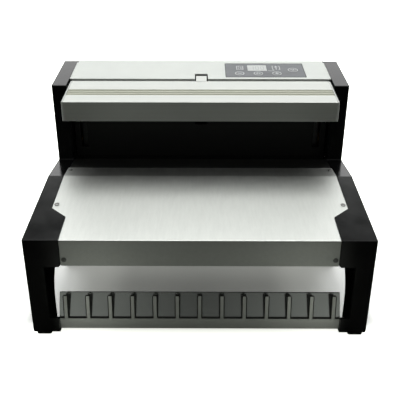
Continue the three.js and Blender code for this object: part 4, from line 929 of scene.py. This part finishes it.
def rack_comb():
    """Front lip with fingers, folded back at the bottom."""
    half = RACK_HALF
    corners = [(-half, RACK_BOTTOM), (half, RACK_BOTTOM), (half, RACK_LIP_TOP, 1)]
    for x in reversed(FINGER_PLACES):
        corners += [(x + FINGER_HALF, RACK_LIP_TOP, 0.6), (x + FINGER_HALF, FINGER_TOP, 1.4),
                    (x - FINGER_HALF, FINGER_TOP, 1.4), (x - FINGER_HALF, RACK_LIP_TOP, 0.6)]
    corners.append((-half, RACK_LIP_TOP, 1))
    comb = leant(prism(filleted(corners, 5), RACK_FACE, RACK_BACK, along_y))
    floor = prism(rectangle(RACK_FACE, 32, RACK_BOTTOM, RACK_BOTTOM + SHEET), -half, half)
    return eased(cleaned(combined(comb, "UNION", floor)), 0.25, 2)


def painted_shade_strips():
    """Painted shade: a dark strip behind the lip, where the slot to the plate reads dark, and one behind each
    finger, which the leaning plate reflects as dark wedges, turned over all tips but the middle one as dark
    caps.
    """
    back, lip_half, strip_half, start = RACK_BACK + 0.4, RACK_HALF - 0.5, 3.6, 29.9
    strips = [prism(rectangle(-lip_half, lip_half, 24, start), RACK_BACK, back, along_y)]
    for x in FINGER_PLACES:
        strip = rectangle(x - strip_half, x + strip_half, start, FINGER_TOP - 0.8)
        strips.append(prism(strip, RACK_BACK, back, along_y))
        if x:
            tip = rectangle(x - FINGER_HALF, x + FINGER_HALF, FINGER_TOP, FINGER_TOP + 0.9, 0.3)
            strips.append(prism(tip, RACK_FACE - 0.1, back, along_y))
    return eased(leant(merged(*strips)), 0.1, 1)


add("wire_rack_fingers", rack_comb(), "rack_paint", nodes=["wire_rack_comb"])
# the dark strips are painted shade behind the rack's lip and fingers
add("painted_shade_strips", painted_shade_strips(), "rack_shade")


def rack_plate():
    """The leaning plate, its top edge a little lower and its ends a little wider."""
    stretch, top_from, top_move = 1.006, 60, Vector((0, -0.46, -1.3))
    mesh = node_mesh("wire_rack_plate")
    for vert in mesh.vertices:
        vert.co.x *= stretch
        if vert.co.z > top_from * MM:
            vert.co += top_move * MM
    return eased(mesh, 0.3, 2, 12)


add("wire_rack_plate_finished", rack_plate(), "rack_plate", nodes=["wire_rack_plate"])


# Rear cover and its fittings

VENT_HEIGHTS = (225, 84)
VENT_MIDDLE, VENT_PITCH = 100, 12
VENT_HALF, VENT_REACH = 2, 17


def rear_cover():
    """A plain sheet with two rows of vents, and cut-outs for the inlet and the switch."""
    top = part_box("rear_cover")[1].z / MM
    holes = []
    for height in VENT_HEIGHTS:
        for i in range(9):
            x = VENT_MIDDLE + (i - 4) * VENT_PITCH
            holes.append(rectangle(
                x - VENT_HALF, x + VENT_HALF, height - VENT_REACH, height + VENT_REACH, VENT_HALF - 0.01, 8))
    holes += [rectangle(-163.8, -136.2, 37.7, 58.3), rectangle(-112.9, -99.1, 38.1, 57.9)]
    sheet = rectangle(-PLATE_HALF, PLATE_HALF, 14, top)
    return eased(prism(sheet, REAR_COVER_FACE, REAR_COVER_BACK, along_y, holes), 0)


add("rear_cover_sheet", rear_cover(), "black_sheet", nodes=["rear_cover"])
# a dust screen behind the upper vents, so that no light shows through them from the front
screen_half, screen_half_height = 56, 21
vent_screen = prism(
    rectangle(VENT_MIDDLE - screen_half, VENT_MIDDLE + screen_half,
              VENT_HEIGHTS[0] - screen_half_height, VENT_HEIGHTS[0] + screen_half_height, 3),
    REAR_COVER_FACE - 1.1, REAR_COVER_FACE - 0.2, along_y)
add("vent_screen", eased(vent_screen, 0.2), "black_sheet")
refine("power_inlet", "black_fitting", 0.3)
refine("switch_frame", "black_fitting", 0.3)
refine("power_rocker", "black_fitting", 0.3, 3)

for k, (x, height) in enumerate([(s * 192, z) for s in (1, -1) for z in (24, 165, 298)]):
    mesh = screw_head.copy()
    spot = placed(x, REAR_COVER_BACK - FIT, height)
    mesh.transform(Matrix.Translation(spot) @ Matrix.Rotation(-math.pi / 2, 4, "X"))
    add(f"rear_cover_screw_{k}", mesh, "screw_steel")


# Inner pieces keep their solids and get a finish

inner = {
    "guide_bush": "bearing_bronze",
    "toothed_rack": "gear_steel",
    "lift_pinion": "gear_steel",
    "drive_gear": "bearing_bronze",
    "shaft_bearing": "bearing_bronze",
    "motor_pinion": "gear_steel",
    "gearbox_housing": "gearbox_casting",
    "motor": "motor_can",
    "motor_bracket": "frame_steel",
    "transformer": "transformer_core",
    "control_board": "circuit_board",
}
for prefix, finish in inner.items():
    for node, obj in frame["nodes"].items():
        if node in (prefix, f"{prefix}_right", f"{prefix}_left"):
            obj.data.materials.clear()
            obj.data.materials.append(finishes[finish])


# Floor, world, camera

class Nodes:
    """A bare node tree with a few helpers."""

    def __init__(self, tree):
        self.tree = tree
        tree.nodes.clear()

    def node(self, kind, settings=None, **inputs):
        made = self.tree.nodes.new(kind)
        for key, value in (settings or {}).items():
            setattr(made, key, value)
        for key, value in inputs.items():
            made.inputs[key.replace("_", " ")].default_value = value
        return made

    def link(self, source, target):
        self.tree.links.new(source, target)

    def ramp(self, value, stops, low=0.0, high=1.0):
        """Levels at values between low and high, eased between stops."""
        top = max(level for _, level in stops)
        share = self.node("ShaderNodeMapRange", From_Min=low, From_Max=high)
        self.link(value, share.inputs["Value"])
        ramp = self.node("ShaderNodeValToRGB")
        ramp.color_ramp.interpolation = "EASE"
        elements = ramp.color_ramp.elements
        elements.remove(elements[-1])
        for i, (place, level) in enumerate(stops):
            spot = (place - low) / (high - low)
            element = elements.new(spot) if i else elements[0]
            element.position = spot
            element.color = (level / top, level / top, level / top, 1)
        self.link(share.outputs[0], ramp.inputs[0])
        return self.math("MULTIPLY", ramp.outputs[0], top)

    def math(self, operation, first, second=0.0):
        node = self.node("ShaderNodeMath", {"operation": operation})
        for value, socket in ((first, node.inputs[0]), (second, node.inputs[1])):
            if isinstance(value, float):
                socket.default_value = value
            else:
                self.link(value, socket)
        return node.outputs[0]

    def by_ray(self, others, seen, mirrored_share, out):
        """Seen by the camera and through glass, and by its share in reflections. Others elsewhere."""
        path = self.node("ShaderNodeLightPath")
        direct = self.math("MAXIMUM", path.outputs["Is Camera Ray"], path.outputs["Is Transmission Ray"])
        reflected = self.math("MULTIPLY", path.outputs["Is Glossy Ray"], mirrored_share)
        mix = self.node("ShaderNodeMixShader")
        self.link(self.math("MAXIMUM", direct, reflected), mix.inputs[0])
        self.link(others, mix.inputs[1])
        self.link(seen, mix.inputs[2])
        self.link(mix.outputs[0], self.node(out).inputs["Surface"])


# Ramps are pairs of a place and a level. Places on the floor are in metres.
# painted light that the camera sees added, by place along Y, and by distance from the middle: white round the
# machine, with painted shade under it that is lighter towards its sides
FLOOR_ALONG = [(-0.165, 1.2), (-0.12, 0.11), (-0.04, 0.11), (0.03, 0.19), (0.25, 0.19), (0.4, 1.0)]
FLOOR_ACROSS = [(0.0, 0.0), (0.1, 0.02), (0.16, 0.11), (0.195, 0.1), (0.215, 0.03), (0.24, 0.0), (0.258, 0.5)]
# the floor's colour in the lamps' light, as the camera sees it, and the tint of what is added
FLOOR_LIT = 1.5
GLOW_TINT = (0.98, 1, 0.93, 1)
# share of that which reflections show: behind the machine, and beside it from its front on
MIRROR_BEHIND = [(0.15, 0.0), (0.35, 1.0)]
MIRROR_BESIDE = [(0.3, 0.0), (0.6, 1.0)]
MIRROR_FRONT = [(-0.2, 0.0), (0.0, 1.0)]
# grey of the floor in front, a painted shadow of the machine, in reflections and for the light it returns
FLOOR_TINT = (0.99, 1.02, 0.93)
FLOOR_GREY_ALONG = [(-0.9, 0.01), (-0.55, 0.1), (-0.3, 0.3), (-0.19, 0.4), (-0.15, 0.4), (-0.11, 0.04)]
# it also varies by the slope from a point behind the middle, so its painted bands of light and shade fan out
# to the front
FAN_ORIGIN = 0.48
FLOOR_GREY_FAN = [
    (0.0, 0.6), (0.11, 0.74), (0.21, 1.4), (0.255, 1.7), (0.28, 1.4), (0.308, 0.15), (0.47, 0.25),
    (0.57, 1.5),
]


def floor_material():
    """White to the camera round the machine, duller under it from its real shadow and from less painted
    light, and grey in what the metal reflects, a painted shadow in fanned bands.
    """
    material = bpy.data.materials.new("pale_floor")
    material.use_nodes = True
    floor = Nodes(material.node_tree)
    place = floor.node("ShaderNodeTexCoord")
    split = floor.node("ShaderNodeSeparateXYZ")
    floor.link(place.outputs["Object"], split.inputs[0])
    along = split.outputs["Y"]
    across = floor.math("ABSOLUTE", split.outputs["X"])

    # the grey is a painted shadow in fanned bands of light and shade, seen in reflections
    fan = floor.math("DIVIDE", across, floor.math("SUBTRACT", FAN_ORIGIN, along))
    grey_along = floor.ramp(along, FLOOR_GREY_ALONG, -1.0, 0.0)
    grey = floor.math("MULTIPLY", grey_along, floor.ramp(fan, FLOOR_GREY_FAN, 0.0, 0.75))
    tinted = floor.node("ShaderNodeVectorMath", {"operation": "SCALE"})
    tinted.inputs[0].default_value = FLOOR_TINT
    floor.link(grey, tinted.inputs["Scale"])
    reflected = floor.node("ShaderNodeBsdfDiffuse")
    floor.link(tinted.outputs[0], reflected.inputs["Color"])

    # painted light that the camera sees, weak under the machine as painted shade
    added = floor.math(
        "ADD", floor.ramp(along, FLOOR_ALONG, -0.2, 0.4), floor.ramp(across, FLOOR_ACROSS, 0.0, 0.3))
    glow = floor.node("ShaderNodeEmission", Color=GLOW_TINT)
    floor.link(added, glow.inputs["Strength"])
    lit = floor.node("ShaderNodeBsdfDiffuse", Color=(FLOOR_LIT, FLOOR_LIT, FLOOR_LIT, 1))
    seen = floor.node("ShaderNodeAddShader")
    floor.link(lit.outputs[0], seen.inputs[0])
    floor.link(glow.outputs[0], seen.inputs[1])
    beside = floor.math(
        "MULTIPLY", floor.ramp(across, MIRROR_BESIDE), floor.ramp(along, MIRROR_FRONT, -1.0, 1.0))
    share = floor.math("MAXIMUM", floor.ramp(along, MIRROR_BEHIND), beside)
    floor.by_ray(reflected.outputs[0], seen.outputs[0], share, "ShaderNodeOutputMaterial")
    return material


bpy.ops.mesh.primitive_plane_add(size=40)
floor = bpy.context.object
floor.name = "floor"
floor.data.materials.append(floor_material())


# brightness by height on a unit sphere, by place along Y, and by distance from the middle, then the
# faint light from all round, by distance from the middle and by height
SKY_UP = [(0.0, 0.6), (0.2, 1.0), (0.6, 1.0), (0.67, 0.15), (0.79, 0.22), (0.87, 2.6), (1.0, 2.6)]
SKY_BACK = [(-0.05, 0.0), (0.3, 1.0)]
SKY_ACROSS = [(0.3, 1.0), (0.9, 0.35)]
SKY_DIM = [(0.0, 0.05), (0.3, 0.22)]
SKY_DIM_UP = [(0.24, 1.0), (0.34, 0.2)]
# share of the white backdrop that reflections show: behind, up to the top of the backdrop
MIRROR_UP = [(0.56, 1.0), (0.62, 0.0)]
SKY_TINT_FRONT = (0.94, 1, 0.93, 1)
SKY_TINT_BACK = (0.97, 1, 0.97, 1)


def studio():
    """White to the camera. To everything else it is bright behind and overhead, and dim in front."""
    world = bpy.data.worlds.new("studio")
    bpy.context.scene.world = world
    world.use_nodes = True
    sky = Nodes(world.node_tree)
    place = sky.node("ShaderNodeTexCoord")
    split = sky.node("ShaderNodeSeparateXYZ")
    sky.link(place.outputs["Generated"], split.inputs[0])
    up = sky.ramp(split.outputs["Z"], SKY_UP)
    back = sky.ramp(split.outputs["Y"], SKY_BACK, -1.0, 1.0)
    beside = sky.math("ABSOLUTE", split.outputs["X"])
    bright = sky.math("MULTIPLY", sky.math("MULTIPLY", up, back), sky.ramp(beside, SKY_ACROSS))
    faint = sky.math("MULTIPLY", sky.ramp(beside, SKY_DIM), sky.ramp(split.outputs["Z"], SKY_DIM_UP))
    level = sky.math("ADD", bright, faint)
    tint = sky.node("ShaderNodeMix", {"data_type": "RGBA"})
    sky.link(back, tint.inputs[0])
    tint.inputs[6].default_value = SKY_TINT_FRONT
    tint.inputs[7].default_value = SKY_TINT_BACK
    dim = sky.node("ShaderNodeBackground")
    sky.link(tint.outputs[2], dim.inputs["Color"])
    sky.link(level, dim.inputs["Strength"])
    white = sky.node("ShaderNodeBackground", Color=(1, 1, 1, 1))
    share = sky.math("MULTIPLY", back, sky.ramp(split.outputs["Z"], MIRROR_UP, -1.0, 1.0))
    sky.by_ray(dim.outputs[0], white.outputs[0], share, "ShaderNodeOutputWorld")


studio()


def soft_box(name, width, height, watts, spot, lean):
    """A lamp that points down, of a size and at a place in metres, turned about X by its lean in degrees."""
    lamp = bpy.data.lights.new(name, "AREA")
    lamp.shape = "RECTANGLE"
    lamp.size, lamp.size_y = width, height
    lamp.energy = watts
    box = bpy.data.objects.new(name, lamp)
    bpy.context.scene.collection.objects.link(box)
    box.location = spot
    box.rotation_euler = (math.radians(lean), 0, 0)


soft_box("overhead", 2.4, 1.4, 9.3, (0, 0.1, 1.5), 0)
soft_box("behind", 2.4, 1.0, 3.8, (0, 2.0, 1.2), -60)

# place in millimetres, turns in degrees
CAMERA_PLACE = (2.0, -644.5, 496)
CAMERA_TURN, CAMERA_PITCH, CAMERA_ROLL = 0.15, 24.2, 0.08
camera = bpy.data.cameras.new("camera")
camera.sensor_width = 36
camera.lens = 52.2
viewer = bpy.data.objects.new("camera", camera)
bpy.context.scene.collection.objects.link(viewer)
viewer.location = placed(*CAMERA_PLACE)
turn, lift, roll = (math.radians(angle) for angle in (CAMERA_TURN, 90 - CAMERA_PITCH, CAMERA_ROLL))
viewer.rotation_euler = (
    Matrix.Rotation(turn, 3, "Z") @ Matrix.Rotation(lift, 3, "X") @ Matrix.Rotation(roll, 3, "Z")).to_euler()
bpy.context.scene.camera = viewer
bpy.context.scene.view_settings.view_transform = "Standard"
